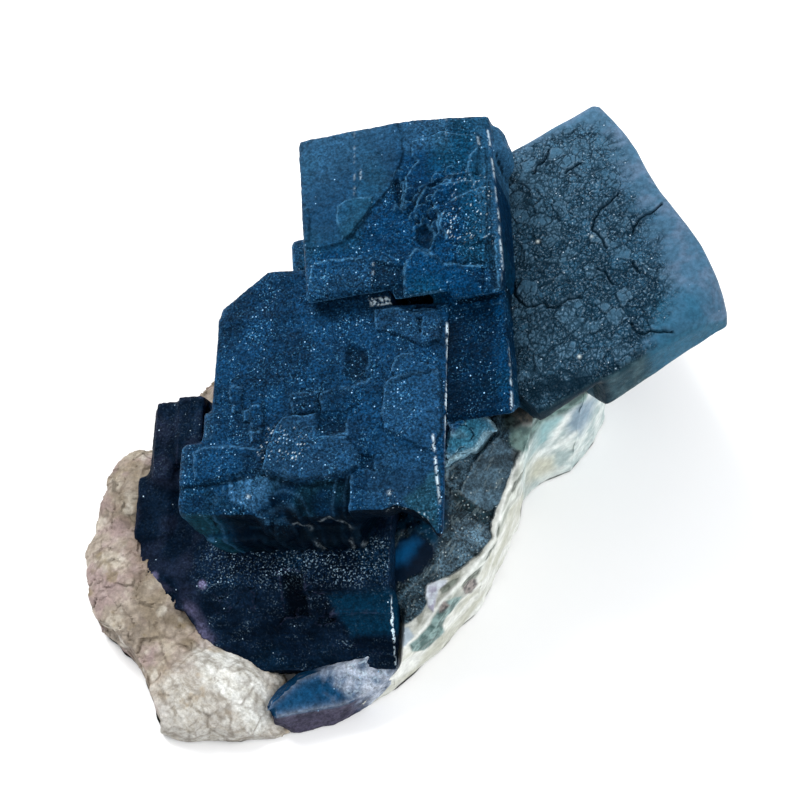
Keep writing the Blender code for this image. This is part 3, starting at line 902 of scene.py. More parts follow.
# Painted light in these notes: line holds painted glints, also along arcs on the front, and the painted edge
# highlights; milk holds milky patches and scratches, with painted highlights on lit rims; dark holds painted
# shade in pits, on the front, on shaded rims and under the scarp, besides a dark crack, darker tiles and
# patches, and the darkened broken front.
note(middle_cube,
     line=most(fringe * patchy(points, 0.9, 27, -0.4, 0.1) + 0.16 * arcs + 0.6 * glint_specks * plate
               + sparkling * plate + 0.9 * glints * inside(flat, SPARK, 0.6) * plate
               + 0.8 * glints * near_line(above, FRONT_GLINTS, 0.45) * steps(normals[:, 2], 0.2, 0.6)),
     rim=frosted_rim(points, edge, 0.6, 3.0),
     milk=most(0.7 * fan * (0.5 + 0.5 * patchy(points * (1.0, 0.4, 0.6), 0.6, 58, -0.2, 0.3)),
               0.16 * plate * calm, 0.8 * lit * plate * patchy(points, 0.9, 29, -0.7, 0.2), 0.9 * scratches,
               crest, 0.7 * ridge * (z > -4), plate * (0.06 + 0.10 * inside(flat, CENTRE_PLATE, 0.2)
                                                       + 0.12 * inside(flat, RIGHT_PLATE, 0.2)
                                                       + 0.08 * inside(flat, FAR_PLATE, 0.2)
                                                       + 0.06 * inside(flat, UPPER_TILE, 0.2))),
     tint=most(0.7 * inside(flat, GREEN_CORNER, 0.8) * (z > -3),
               np.maximum(0.6 * front * (1 - shade), 0.5 * broken * patchy(points, 2.0, 35, -0.2, 0.4))),
     frost=np.clip(plate * (0.7 + 0.4 * patchy(points, 3.0, 26, -0.3, 0.4)) * (1 - 0.45 * behind * slump)
                   * (1 - 0.3 * calm) + 0.3 * inside(flat, SPARK, 0.8) + 0.10, 0, 2),
     dark=most(shade_in_pits, front * shade * 0.93, (y < -11.3) * (z < -1.2) * shade * 0.93, 0.75 * shaded * plate,
               0.85 * cleft, 0.8 * shadow_under_scarp, 0.3 * plate * patch(flat, (DARK_TILE, DARK_TILE_BEHIND), 0.2),
               0.25 * plate * patchy(points, 2.6, 38, 0.0, 0.5) * (1 - inside(flat, SPARK, 1.0)),
               behind * slump * (0.70 + 0.26 * steps(roll, 0.2, 0.8)) * (1 - 0.8 * fan)
               * (0.65 + 0.35 * pattern)),
     fold=folds(middle_cube))
place(middle_cube, middle_finish, 50, MIDDLE, "cube_cluster", "blue_fluorite")

# %% [markdown]
# ## The dark ledge
#
# In front and to the left, darker crystals stand lower. The flat top of the ledge glitters
# more than anything else on the piece, and its front goes down in many thin steps. Those
# steps are made as a stack of slabs, each a little further out and lower than the last.

# %% Dark ledge: slabs and skin
LEDGE_Y = (-25.0, -24.3, -23.5, -21.9, -19.3, -17.9, -16.2, -12.8)
LEDGE_LEFT = (-10.0, -12.6, -14.8, -17.8, -19.3, -21.7, -23.5, -24.8)
STEPS = 13
FIRST_Y, REACH = -15.4, 9.3  # where the highest step ends, and how much further the lowest goes
slabs = [
    block((-24.8, -15.3, -14.8), (4.4, -2.0, -10.15), 0.5),
    block((-24.0, -5.1, -17.5), (-12.0, 4.2, -9.0), 0.5),
    block((-23.2, -4.6, -17.0), (-20.6, 4.6, -7.9), 0.4),
    block((-20.4, -3.0, -17.0), (-17.2, 4.9, -7.3), 0.4),
    block((-25.4, -11.0, -15.0), (-21.0, -3.6, -9.4), 0.5),
    block((-6.4, -17.0, -14.0), (4.4, -12.0, -10.0), 0.3),
    block((-3.0, -19.4, -15.0), (4.5, -12.0, -11.2), 0.3),
    block((-13.0, -25.0, -17.0), (-3.0, -20.0, -14.3), 0.4),
]
for i in range(STEPS):
    share = i / (STEPS - 1)
    low_y = FIRST_Y - REACH * share
    jitter = noise.noise((i * 1.7, 4.2, 0.3))
    left = float(np.interp(low_y, LEDGE_Y, LEDGE_LEFT))
    right, height = 4.5 - 0.2 * share + 0.25 * jitter, -10.3 - 4.2 * share + 0.15 * jitter
    slabs.append(block((left, low_y, -15.4), (right, -12.0, height), 0.12))
dark_ledge = joined("dark_ledge", slabs)
skin(dark_ledge, 0.36)
refine(dark_ledge, lambda c, n: (n[:, 2] > 0.4) | (n[:, 1] < -0.4), 1)
refine(dark_ledge, lambda c, n: (c[:, 0] > 3.0) & (c[:, 1] < -15) & (c[:, 2] < -9.5) & (c[:, 2] > -16)
       & (n[:, 2] > -0.3), 1)
print("dark ledge has", len(dark_ledge.data.polygons), "faces")

# %% Dark ledge: relief
points, normals = read(dark_ledge)
x, y, z = points.T
above = points[:, :2]
top = steps(normals[:, 2], 0.3, 0.8)
slope = steps(-y + 0.6 * wander(points, 2.0, 40), 15.6, 17.0)
# The left side is cut round, following the rock below it.
LEDGE_OUTLINE = [(-18.4, 5.4), (-24.4, 4.4), (-24.3, -3.0), (-25.6, -4.2), (-25.4, -12.8), (-23.9, -16.2),
                 (-21.9, -17.9), (-19.2, -19.3), (-18.0, -21.9), (-15.0, -23.5), (-12.6, -24.3), (-10.0, -25.4),
                 (4.9, -25.4), (4.9, 5.4)]
held(points, LEDGE_OUTLINE)
fringe = depth_in(above, LEDGE_OUTLINE)[0]
# The front is broken: thin wavy steps low down, coarser plates higher up, and a notch, which gets painted
# shade.
low_front = steps(-y, 19.5, 21.5)
striae = wander(points * (0.22, 3.2, 3.2), 1.0, 41)
points += normals * (0.09 * striae * slope * (0.3 + 0.7 * low_front))[:, None]
tiles = tiled(points, 1.8, 39, 0.2, 1.0, 39)
even = np.maximum(inside(above, [(-3.2, -16.0), (5.5, -15.5), (5.5, -22.0), (-1.0, -22.0)], 1.5),
                  steps(-x, 15.0, 17.0))
points += normals * (0.30 * (tiles - 0.5) * slope * (1 - low_front) * (1 - 0.85 * even))[:, None]
notch = inside(above, [(-7.9, -14.8), (-5.4, -15.1), (-5.2, -19.3), (-7.7, -19.1)], 0.6)
z -= 0.5 * notch * top
upright = steps(-x, 16.0, 18.0) * steps(y, -5.0, -3.0)
points += normals * (0.12 * wander(points * (2.4, 0.3, 0.3), 1.0, 44) * upright)[:, None]
x -= 0.1 * steps(x, 1.5, 4.5)
roughen(points, normals, 42, 0.08, 0.06, 0.04)
write(dark_ledge, points)
normals = read(dark_ledge)[1]

# %% Dark ledge: notes for its finish
right_block = inside(above, [(-2.8, -17.3), (4.9, -16.8), (4.9, -21.0), (-0.5, -21.4)], 1.0)
left_share = steps(-x, 15.0, 20.0)
# Painted highlight along the rounded right edge.
edge_highlight = (steps(normals[:, 0], 0.52, 0.68) * (1 - steps(normals[:, 0], 0.84, 0.93)) * steps(x, 2.8, 3.4)
             * (normals[:, 2] > 0))
flakes = np.maximum(dot(above, (-17.1, -16.0), 0.45, 4), dot(above, (-22.7, -15.0), 0.45, 4))
lilac = steps(2.4 - fringe, 0.2, 1.8) * steps(-x, 14.0, 17.0) * steps(-y, 14.5, 16.5)
purple = 0.05 * left_share * patchy(points, 2.6, 49, -0.2, 0.4)
glittering = top * (1 - slope) * steps(x, -19.5, -15.0) * steps(-y, 10.8, 11.8)
streaks = patchy(points * (0.5, 1.5, 1.5), 1.2, 47, 0.0, 0.4)
# Painted shade on the front slope, which faces away from the light.
shaded_front = slope * (0.15 + 0.4 * patchy(points * (0.5, 1.0, 1.0), 1.6, 48, -0.2, 0.4))
# dark holds the painted shade of the front slope and of the notch, and a darker left end.
note(dark_ledge,
     line=most(1.3 * edge_highlight * steps(-y, 17.2, 18.4) * (1 - 0.7 * steps(-y, 21.0, 22.6))
               * patchy(points, 1.5, 50, -0.7, -0.3)),
     milk=most(purple, 0.8 * flakes * top, 0.45 * lilac * patchy(points, 2.2, 45, -0.3, 0.4)),
     tint=most(0.8 * right_block + 0.25 * patchy(points, 5.0, 46, 0.0, 0.5) * (1 - left_share)),
     frost=np.clip((1.5 - 0.5 * patchy(points, 1.6, 51, -0.2, 0.3)) * glittering
                   + 0.45 * slope * streaks * (1 - right_block) + 0.08 + 0.1 * upright, 0, 1.9),
     dark=most(shaded_front * (1 - right_block), 0.8 * notch, 0.35 * left_share),
     fold=folds(dark_ledge))
place(dark_ledge, ledge_finish, 50, MIDDLE, "cube_cluster", "blue_fluorite")

# %% [markdown]
# ## The cracked cube
#
# The cube that leans out to the right is greyer. Its skin looks like dried mud: islands
# parted by dark cracks, some of them smooth plates and the rest crumbly, and it fades to a
# smooth, milky rim on the right. The cracks are the borders of Voronoi cells at three
# sizes, so they are both seen and felt, and the few long ones are drawn as lines.

# %% Cracked cube: blocks and skin
def underside(piece, low_z):
    """The broken underside, which falls back from the lower edge of the side."""
    cut(piece, (-4.9, -12.8, low_z), (-0.1, 0.766, 0.643))


near_side = block((-9.2, -12.8, -22.0), (9.4, 17.2, 0.0), 0.6)
underside(near_side, -6.6)
far_side = block((-19.0, -12.8, -22.0), (-7.0, 17.0, 0.0), 0.6)
underside(far_side, -0.5)
cut(far_side, (-17.6, -9.2, 0.0), (0.965, 0.263, 0.0))
cracked_cube = joined("cracked_cube", [near_side, far_side])
skin(cracked_cube, 0.45)
refine(cracked_cube, lambda c, n: (n[:, 2] > 0.5) & (c[:, 2] > -2), 3)
print("cracked cube has", len(cracked_cube.data.polygons), "faces")

# %% Cracked cube: where its cracks and edges are
RIGHT_EDGE_Y = (-14.1, -12.4, -10.5, -8.6, -5.3, -2.0, 0.6, 2.9, 6.2, 9.1, 11.6, 14.1, 16.8)
RIGHT_EDGE_X = (5.9, 6.5, 7.1, 7.4, 7.9, 8.1, 8.0, 8.0, 8.3, 8.8, 8.9, 8.8, 8.6)
BIG_CRACKS = (
    ((-2.2, 13.0), (-1.3, 13.6), (-0.3, 13.7), (0.8, 14.5)),
    ((0.7, 10.9), (1.4, 11.1), (2.6, 11.0)),
    ((3.9, 5.2), (3.0, 4.9), (1.4, 4.8), (0.5, 4.1), (-0.5, 3.3), (-0.5, 2.1), (-0.7, 0.1)),
    ((7.1, 1.3), (5.5, 1.2), (4.2, 1.2), (3.2, 0.7), (2.7, 0.1)),
    ((-2.7, -1.6), (-2.4, -2.3), (-2.4, -4.0)),
    ((-10.5, 3.9), (-11.3, 1.8), (-11.7, 0.2), (-11.4, -1.2), (-10.6, -1.5), (-9.8, -1.7), (-9.6, -2.7),
     (-8.6, -3.1), (-7.2, -2.9), (-6.1, -3.5)),
    ((-3.4, -9.1), (-3.3, -10.2), (-2.7, -11.0), (-1.3, -11.6), (-0.3, -12.3)),
    ((0.7, -3.0), (0.7, -4.5)),
)
# Seen from above, its two right corners are rounded.
CRACKED_OUTLINE = [(-21.0, 18.0), (6.6, 17.6), (7.7, 17.2), (8.6, 16.2), (9.6, 13.0), (9.6, -8.0), (7.4, -11.0),
                   (7.1, -12.0), (6.4, -12.7), (5.2, -13.2), (-21.0, -13.4)]
# Painted highlights: three bright spots where crystals in the skin catch the light, as place and strength.
CRACKED_SPARKS = (((-6.3, 5.1), 1.0), ((-1.2, 2.2), 0.5), ((-9.8, -9.5), 0.8))
TEAL_CORNER = [(0.2, -8.0), (3.5, -8.8), (4.4, -11.0), (4.2, -14.7), (0.9, -15.8), (-3.4, -13.0), (-2.1, -10.6)]

# %% Cracked cube: carving
points, normals = read(cracked_cube)
x, y, z = points.T
above = points[:, :2]
top = steps(normals[:, 2], 0.3, 0.8) * (z > -2)
width = np.interp(y, RIGHT_EDGE_Y, RIGHT_EDGE_X)
x -= (9.4 - width) * steps(x, 3.0, 9.0)
held(points, CRACKED_OUTLINE)
z -= 0.8 * steps(-y, 10.9, 13.1) ** 2 * (x > -9.0) * steps(z, -3.0, -1.0)
z -= 3.0 * steps(0.7 * (x - y), 9.8, 13.8) * steps(z, -6.0, -2.0)
bent = points + 0.30 * nudges(points, 0.9, 61, 62, None)
bent[:, 2] *= 0.3
large, middles = cells(bent, 1.7, 63)
medium, _ = cells(bent, 0.85, 64)
small, _ = cells(bent, 0.45, 65)
# The far side and the right edge are bare and smooth. The rest is grainy.
bare_from = np.interp(y, (-12.0, -10.8, -9.0, -6.3, -2.6, 1.5, 6.2, 10.2, 14.1, 16.7),
                      (-3.4, -0.9, 1.6, 3.0, 4.0, 4.6, 5.7, 6.8, 7.0, 4.9))
bare = most(steps(x - bare_from + 0.9 * wander(points, 2.5, 66)
                  + 1.5 * wander(points * (0.4, 1.0, 1.0), 0.5, 77), -1.8, 1.8)
               + steps(y + 0.15 * x + 0.8 * wander(points, 1.5, 75), 15.6, 17.4))
grainy = top * (1 - bare)
open_large = 1 - steps(large, 0.03, 0.14)
open_medium = (1 - steps(medium, 0.02, 0.12)) * patchy(points, 2.0, 67, -0.5, -0.1)
open_small = (1 - steps(small, 0.02, 0.10)) * steps(wander(points, 1.6, 68) - 0.02 * x - 0.01 * y, -0.3, 0.1)
crack = np.maximum.reduce([0.8 * open_large * patchy(points, 1.8, 69, -0.55, -0.1), 0.8 * open_medium,
                           0.7 * open_small])
crack *= 1 - 0.9 * bare
deep_crack = lined(ragged(points, 0.8, 0.25, 70), BIG_CRACKS, 0.15)
crumbs = np.sin(middles @ SCATTER)
plates = grainy * steps(crumbs + 0.02 * y - 0.01 * x, 0.15, 0.45) * steps(large, 0.06, 0.16)
relief = (-0.12 * crack - 0.32 * deep_crack + 0.05 * crumbs * grainy + 0.05 * wander(points, 1.5, 71)
          + 0.05 * grainy * (1 - plates) * wander(points, 0.3, 72))
points += normals * (relief * (0.3 + 0.7 * top) + 0.14 * wander(points, 4.0, 73))[:, None]
write(cracked_cube, points)

# %% Cracked cube: notes for its finish
side = steps(-normals[:, 1], 0.4, 0.8)
edge = np.minimum.reduce([9.0 - x, 17.0 - y])
shade_corner = inside(above, [(-19.5, -9.0), (-16.0, -5.5), (-12.7, -9.6), (-9.0, -11.6), (-9.0, -13.5),
                              (-19.5, -13.5)], 3.0)
lower = steps(5.0 - y - 0.4 * x, 0.0, 14.0)
teal_corner = inside(above, TEAL_CORNER, 2.5)
# dark holds painted shade in the far corner and on the front walls of the far side, and darker grains towards
# the front; spark holds the painted highlights.
note(cracked_cube,
     crack=most(crack * top, deep_crack),
     grainy=grainy,
     milk=most(0.62 * bare * (1 - 0.75 * teal_corner) * top + 0.30 * np.exp(-np.clip(edge, 0, None) / 1.3)),
     side=most(side + 0.3 * (1 - top)),
     tint=most(teal_corner + 0.8 * side * steps(x, -2.0, 6.0)),
     dark=most(0.9 * shade_corner * top * patchy(points, 1.6, 74, -0.4, 0.3),
               0.85 * (1 - top) * steps(-x, 7.8, 9.4) * (y < -10),
               grainy * (1 - plates) * (0.10 + 0.25 * lower + 0.08 * steps(-x, 6.0, 15.0))
               * (0.6 + 0.4 * wander(points, 1.2, 76))),
     plates=plates,
     spark=np.max([share * dot(above, spot, 0.17) for spot, share in CRACKED_SPARKS], axis=0),
     high=most(steps(y, 2.0, 13.0) + 0.7 * steps(-x, 6.0, 15.0)),
     island=0.5 + 0.5 * crumbs,
     fold=folds(cracked_cube))


# %% [markdown]
# Its finish differs from the others: the islands are a smooth blue-grey, each in its own
# tone, and the cracks show the dark body. The side is clearer and teal towards its corner.

# %% Cracked finish
def cracked(name):
    material = begin(name)
    where = millimetres()
    grainy = noted("grainy")
    smoky = clouded(where, 1.5, (0.010, 0.035, 0.050), (0.036, 0.075, 0.092), 0.15)
    veil = clouded(where, 2.5, (0.060, 0.135, 0.215), (0.105, 0.165, 0.250), 0.1)
    colour = layered(
        blend(noted("island"), (0.011, 0.050, 0.092), (0.036, 0.094, 0.150)),
        (eased(cloud(where, 4.0), 0.35, 0.65), (0.024, 0.085, 0.150)),
        (noted("high", 0.7), (0.056, 0.140, 0.220)),
        (noted("plates", 0.55), (0.046, 0.110, 0.172)),
        # Painted highlight on ridges.
        (eased(noted("fold"), 0.008, 0.05, 0.0, 0.5), (0.12, 0.19, 0.26)),
        (noted("side"), smoky),
        (noted("tint", 0.75), (0.018, 0.100, 0.175)),
        (noted("milk"), veil))

    # Between the islands lie fine dark gaps, and their edges carry pale crumbs.
    bent = vectors("ADD", where, random_colour(where, 1.2, 2.0))
    gaps = (new_node("ShaderNodeTexVoronoi", {"Vector": bent, "Scale": 1.0 / 0.42},
                     feature="DISTANCE_TO_EDGE").outputs["Distance"])
    gap = times(eased(gaps, 0.16, 0.04), eased(cloud(where, 1.3, 2.0), 0.38, 0.55, 0.15, 0.85))
    gritty = times(grainy, maths("MULTIPLY_ADD", noted("plates"), -0.85, 1.0))
    crumbs = times(eased(cloud(where, 0.22, 1.0, 0.6), 0.57, 0.70), gritty)
    # Painted glints on the grainy parts.
    shine, _ = painted_glints(where, 0.4, maths("MULTIPLY_ADD", grainy, 0.10, 0.015), 0.25)
    colour = layered(
        salty(colour, where, 0.6, 0.75, 1.25),
        (times(gap, gritty), (0.001, 0.010, 0.020)),
        (times(crumbs, 0.85), (0.17, 0.26, 0.34)),
        (noted("crack"), (0.001, 0.008, 0.016)),
        # Painted shade from the dark notes, and painted highlights at the sparks.
        (noted("dark"), (0.001, 0.009, 0.018)),
        (shine, (0.45, 0.58, 0.70)),
        (noted("spark"), (0.66, 0.74, 0.72)))

    height = maths("ADD", cloud(where, 0.2, 4.0, 0.65), times(eased(gaps, 0.0, 0.2), grainy))
    return surface(material, {
        "Base Color": colour, "Roughness": eased(cloud(where, 0.8), 0.3, 0.7, 0.32, 0.5), "IOR": FLUORITE_IOR,
        "Specular IOR Level": 0.03, "Specular Tint": (0.3, 0.55, 0.8, 1.0), "Transmission Weight": 0.08,
        "Normal": bumped(height, 0.5)}, (0.1, 0.4, 0.55), 1200.0)


place(cracked_cube, cracked("slate_blue_cracked_fluorite"), 50, RIGHT, "right_cube", "slate_blue_fluorite")

# %% [markdown]
# ## The broken stub
#
# At the very front lies what is left of a smaller cube: a bright blue top that slopes up
# to the dark ledge, a smoky purple break below it, and an icy white right end.

# %% Broken stub
STUB_TOP = [(-7.1, 0.0), (-5.1, 1.1), (-3.8, 1.5), (-1.9, 2.1), (1.5, 1.9), (3.2, 1.7), (5.4, 1.6), (7.5, 1.1),
            (8.7, 0.3), (8.6, -0.9), (5.7, -1.9), (2.1, -2.3), (1.0, -2.2), (-3.2, -1.2), (-5.8, -0.7)]
STUB_FOOT = [(-7.6, -0.3), (-5.1, 1.4), (-3.8, 1.8), (-1.9, 2.4), (1.5, 2.2), (3.2, 2.0), (6.8, 2.0),
             (8.8, 1.2), (8.9, -1.4), (7.6, -2.8), (4.3, -4.0), (1.2, -4.5), (-0.7, -4.8), (-4.1, -4.2),
             (-6.6, -2.2)]
broken_stub = slab(STUB_FOOT, -3.4, 0.0, STUB_TOP)
broken_stub.name = broken_stub.data.name = "broken_stub"
skin(broken_stub, 0.28)
refine(broken_stub, lambda c, n: (n[:, 2] > 0.2) & (c[:, 2] > -3.0), 1)
points, normals = read(broken_stub)
x, y, z = points.T
above = points[:, :2]
crumble, crack = faceted(points, 1.6, 81)
icy = steps(x + 0.36 * y + 1.0 * wander(points, 2.0, 82), 0.6, 3.4)
top = steps(normals[:, 2], 0.5, 0.9)
tiles = mosaic(points, 1.5, 86)
points += (normals * (0.09 * crumble * icy + 0.08 * tiles * top + 0.06
                      * wander(points * (0.6, 2.0, 1.0), 1.0, 83))[:, None])
z += top * 0.25 * wander(points, 3.0, 87)
roughen(points, normals, 84, 0.06, 0.05, 0.03)
write(broken_stub, points)
depth, _ = depth_in(above, STUB_TOP)
front = steps(-depth, 0.05, 0.35) * (y < 0.5) * (1 - steps(x + 0.8 * wander(points, 1.5, 53), 1.8, 4.5))
mottled = patchy(points, 0.9, 89, 0.0, 0.6) * steps(x, -1.5, 2.0)
note(broken_stub,
     rim=most(0.3 * icy + 0.5 * np.exp(-np.abs(depth) / 0.25) * top),
     milk=most((icy * (0.62 + 0.6 * wander(points, 1.0, 85)) + 0.18 * mottled) * (1 - 0.8 * front)
               + 0.18 * np.exp(-np.abs(depth) / 0.3) * top),
     tint=front,
     line=0.6 * (1 - steps(crack, 0.0, 0.1)) * icy * top,
     frost=0.10 + 0.5 * icy * top,
     dark=most(0.3 * front * patchy(points, 2.0, 88, -0.3, 0.4)
               + 0.5 * steps(y, 1.3, 2.2) * steps(-x, -3.0, 0.0)),
     fold=folds(broken_stub))
place(broken_stub, stub_finish, 50, STUB, "broken_cube", "bright_blue_fluorite")

# %% [markdown]
# ## The rock
#
# The cream rock under the crystals is quartz with a little clay: angular grains half a
# millimetre to two millimetres across. Ellipsoids give its mass, their skin is trimmed to
# the outline of the rock, and then each Voronoi cell is tilted its own way, which turns
# the smooth skin into broken grains. Near the front the quartz is whiter and splits into
# leaves, with one broad fair flake.

# %% Rock: mass and grains
ROCK_OUTLINE = [(-31.5, -9.0), (-30.7, -13.7), (-29.2, -16.8), (-25.2, -19.9), (-23.3, -23.5), (-21.7, -28.6),
                (-19.2, -29.3), (-16.6, -29.3), (-13.5, -29.7), (-11.0, -29.1), (-6.8, -29.3), (-3.0, -28.2),
                (0.0, -24.0), (6.0, -8.0), (14.0, 2.0), (19.2, 14.0), (18.0, 26.0), (9.0, 33.0), (-6.0, 33.0),
                (-16.0, 24.0), (-22.0, 12.0), (-25.5, 4.2), (-28.9, 2.6), (-29.6, -1.0), (-30.6, -5.0)]
FARTHEST = 0.9  # no point is moved further than this
ROCK_LEFT = -31.7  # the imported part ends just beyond
LIFT = 0.02  # what is not underneath stays this far above the floor
FAIR_FLAKE = [(-18.6, -20.4), (-14.1, -20.2), (-10.5, -24.0), (-10.0, -27.4), (-11.5, -29.7), (-13.8, -26.8),
              (-17.2, -24.5)]
rock = joined("cream_rock", [
    lump((-6, 2, 3), (17.4, 19, 8)),
    lump((2, 18, 4), (17, 15, 10)),
    lump((-25.4, -9.5, 0.6), (8.2, 11.2, 6.0)),
    lump((-25.4, -1.5, 1.4), (6.4, 7.2, 7.0)),
    lump((-20.2, -18.2, 0), (9.2, 8.4, 3.9)),
    lump((-16.6, -24.2, 0.4), (8.4, 6.6, 4.1)),
    lump((-12.6, -26.0, -0.9), (6.6, 4.2, 2.8)),
])
skin(rock, 0.5)
cut(rock, (0, 0, 0), (0, 0, 1))
skin(rock, 0.38)
refine(rock, lambda c, n: ((c[:, 0] < -14) | (c[:, 1] < -16)) & (n[:, 2] > -0.2) & (c[:, 2] > 0.3), 1)
print("rock has", len(rock.data.polygons), "faces")

# %% Rock: carving
points, normals = read(rock)
x, y, z = points.T
above = points[:, :2]
trimmed(points, ROCK_OUTLINE, 0.45 * nudges(points, 2.2, 90, 91))
raised = steps(z, 0.0, 0.6)
bent = points + 0.5 * nudges(points, 1.2, 96, 97, 98)
large, crack_large = faceted(bent, 3.0, 92)
grains, crack_small = faceted(bent, 1.2, 93)
flaky = wander(points * (1.6, 0.5, 1.0), 0.7, 99)
white = steps(x - 0.9 * y + 2.0 * wander(points, 3.0, 95), -2.0, 3.0) * (y < -14)
leaf = wander(points * (1.4, 0.5, 1.0) + 1.5 * nudges(points, 3.0, 78, 79, None), 0.9, 80)
relief = (0.08 * (1 - 0.6 * white) * large + (0.13 - 0.09 * white) * grains
          + (0.20 - 0.12 * white) * wander(points, 1.5, 88))
fair = inside(above, FAIR_FLAKE, 1.2)
relief = (relief * (1 - 0.5 * fair) + 0.07 * flaky + (0.14 - 0.06 * fair) * white * np.abs(leaf)
          + 0.05 * wander(points, 0.4, 94))
z -= 0.9 * near_line(above, [(-19.5, -17.4), (-15.6, -19.4), (-11.0, -21.5)], 1.8) * raised
points += np.clip(normals * (relief * raised)[:, None], -FARTHEST, FARTHEST)
z[:] = np.maximum(z, np.where(raised > 0, LIFT, 0.0))
x[:] = np.maximum(x, ROCK_LEFT)
write(rock, points)

# %% Rock: notes for its finish
border = steps(x + 0.35 * y, -32.5, -28.5)
gap = np.maximum((1 - steps(crack_small, 0.0, 0.2)) * patchy(points, 1.8, 87, -0.1, 0.4),
                 (1 - steps(crack_large, 0.0, 0.35)) * steps(wander(points, 2.5, 86) + 0.5 * border, 0.0, 0.5))
note(rock,
     white=white,
     fair=fair,
     gap=gap,
     warm=border * patchy(points, 2.0, 85, -0.4, 0.3),
     fold=folds(rock))


# %% [markdown]
# Quartz grains differ from each other, so each cell of a smooth Voronoi pattern gets its
# own tone, and pink, cream and olive clouds of clay stain lie over the grains. Creases and
# the gaps between grains are darkened brown.

# %% Quartz finish
def quartz(name):
    material = begin(name)
    where = millimetres()
    warped = vectors("ADD", where, random_colour(where, 0.8, 2.0))
    grains = new_node("ShaderNodeTexVoronoi", {"Vector": warped, "Scale": 1.0 / 1.4}, feature="SMOOTH_F1")
    tone = new_node("ShaderNodeSeparateColor", {0: grains.outputs["Color"]})
    creamy = eased(cloud(millimetres(turns=(20.0, 0.0, 70.0)), 3.2), 0.52, 0.64, 0.0, 0.6)
    pink = eased(cloud(where, 4.0), 0.45, 0.62, 0.0, 0.7)
    olive = eased(cloud(millimetres(turns=(40.0, 0.0, 30.0)), 2.4), 0.56, 0.70, 0.0, 0.75)

    # The whiter leaves run across the front, so their noise is stretched and bent.
    along = millimetres((1.5, 0.55, 1.0), (0.0, 0.0, 50.0))
    streaky = cloud(vectors("MULTIPLY_ADD", random_colour(where, 0.5, 3.0), (1.5, 1.5, 1.5), along), 1.1, 5.0,
                    0.68)
    tan = eased(cloud(where, 3.0), 0.56, 0.68, 0.0, 0.6)
    flakes = blend(eased(streaky, 0.32, 0.66), (0.26, 0.24, 0.20), (0.52, 0.515, 0.485))
    flakes = blend(tan, flakes, (0.33, 0.26, 0.17))
    fair = blend(eased(streaky, 0.34, 0.62), (0.44, 0.44, 0.40), (0.66, 0.68, 0.66))
    colour = layered(
        blend(tone.outputs[0], (0.180, 0.145, 0.110), (0.370, 0.315, 0.260)),
        (eased(tone.outputs[1], 0.6, 0.95, 0.0, 0.8), (0.52, 0.49, 0.43)),
        (creamy, (0.46, 0.42, 0.35)),
        (pink, (0.26, 0.185, 0.185)),
        (maths("MAXIMUM", olive, noted("warm", 0.45)), (0.165, 0.125, 0.065)),
        (noted("white", 0.85), flakes),
        (noted("fair", 0.7), fair))

    crease = times(eased(noted("fold"), -0.02, -0.14, 0.0, 0.6),
                   maths("MULTIPLY_ADD", noted("fair"), -0.6, 1.0))
    brown_in_creases_and_gaps = maths("MAXIMUM", crease, noted("gap", 0.55))
    colour = blend(brown_in_creases_and_gaps, salty(colour, where, 0.4, 0.78, 1.2), (0.095, 0.070, 0.045))
    return surface(material, {
        "Base Color": colour, "Roughness": eased(cloud(where, 0.7), 0.3, 0.7, 0.5, 0.8), "IOR": QUARTZ_IOR,
        "Specular IOR Level": 0.4, "Normal": bumped(cloud(where, 0.25, 5.0, 0.7), 0.5, 0.00012)})


place(rock, quartz("cream_quartz_grains"), 30, LEVEL, "quartz_matrix", "cream_quartz")

# %% [markdown]
# ## The banded seam
#
# Between the blue crystals and the right edge runs a seam of paler fluorite. Inside it is
# dark grey-green and broken into flat cleavage faces. Towards the rim it is banded: white,
# green-grey and cream, in layers that follow the rim. At the upper right it ends in a
# smooth, pale foot under the cracked cube, with a brown knob above it in painted shadow.
# Each cleavage face is a tilted plane inside an outline, and the skin is pushed onto it.

# %% Seam: where its faces and bands are
SEAM_OUTLINE = [(-1.5, -26.6), (3.4, -23.4), (8.5, -18.7), (12.0, -13.7), (13.2, -11.2), (15.7, -6.0),
                (18.9, 1.5), (21.0, 3.2), (24.5, 4.9), (27.4, 8.6), (29.0, 12.1), (28.8, 15.9), (22.0, 20.0),
                (10.0, 12.0), (0.0, -5.0), (-3.5, -18.0)]
# The rim is steep, so patches are drawn on a plane that leans back by 56 degrees, as X and height up the plane.
LEAN = np.array((0.0, -0.559, 0.829))
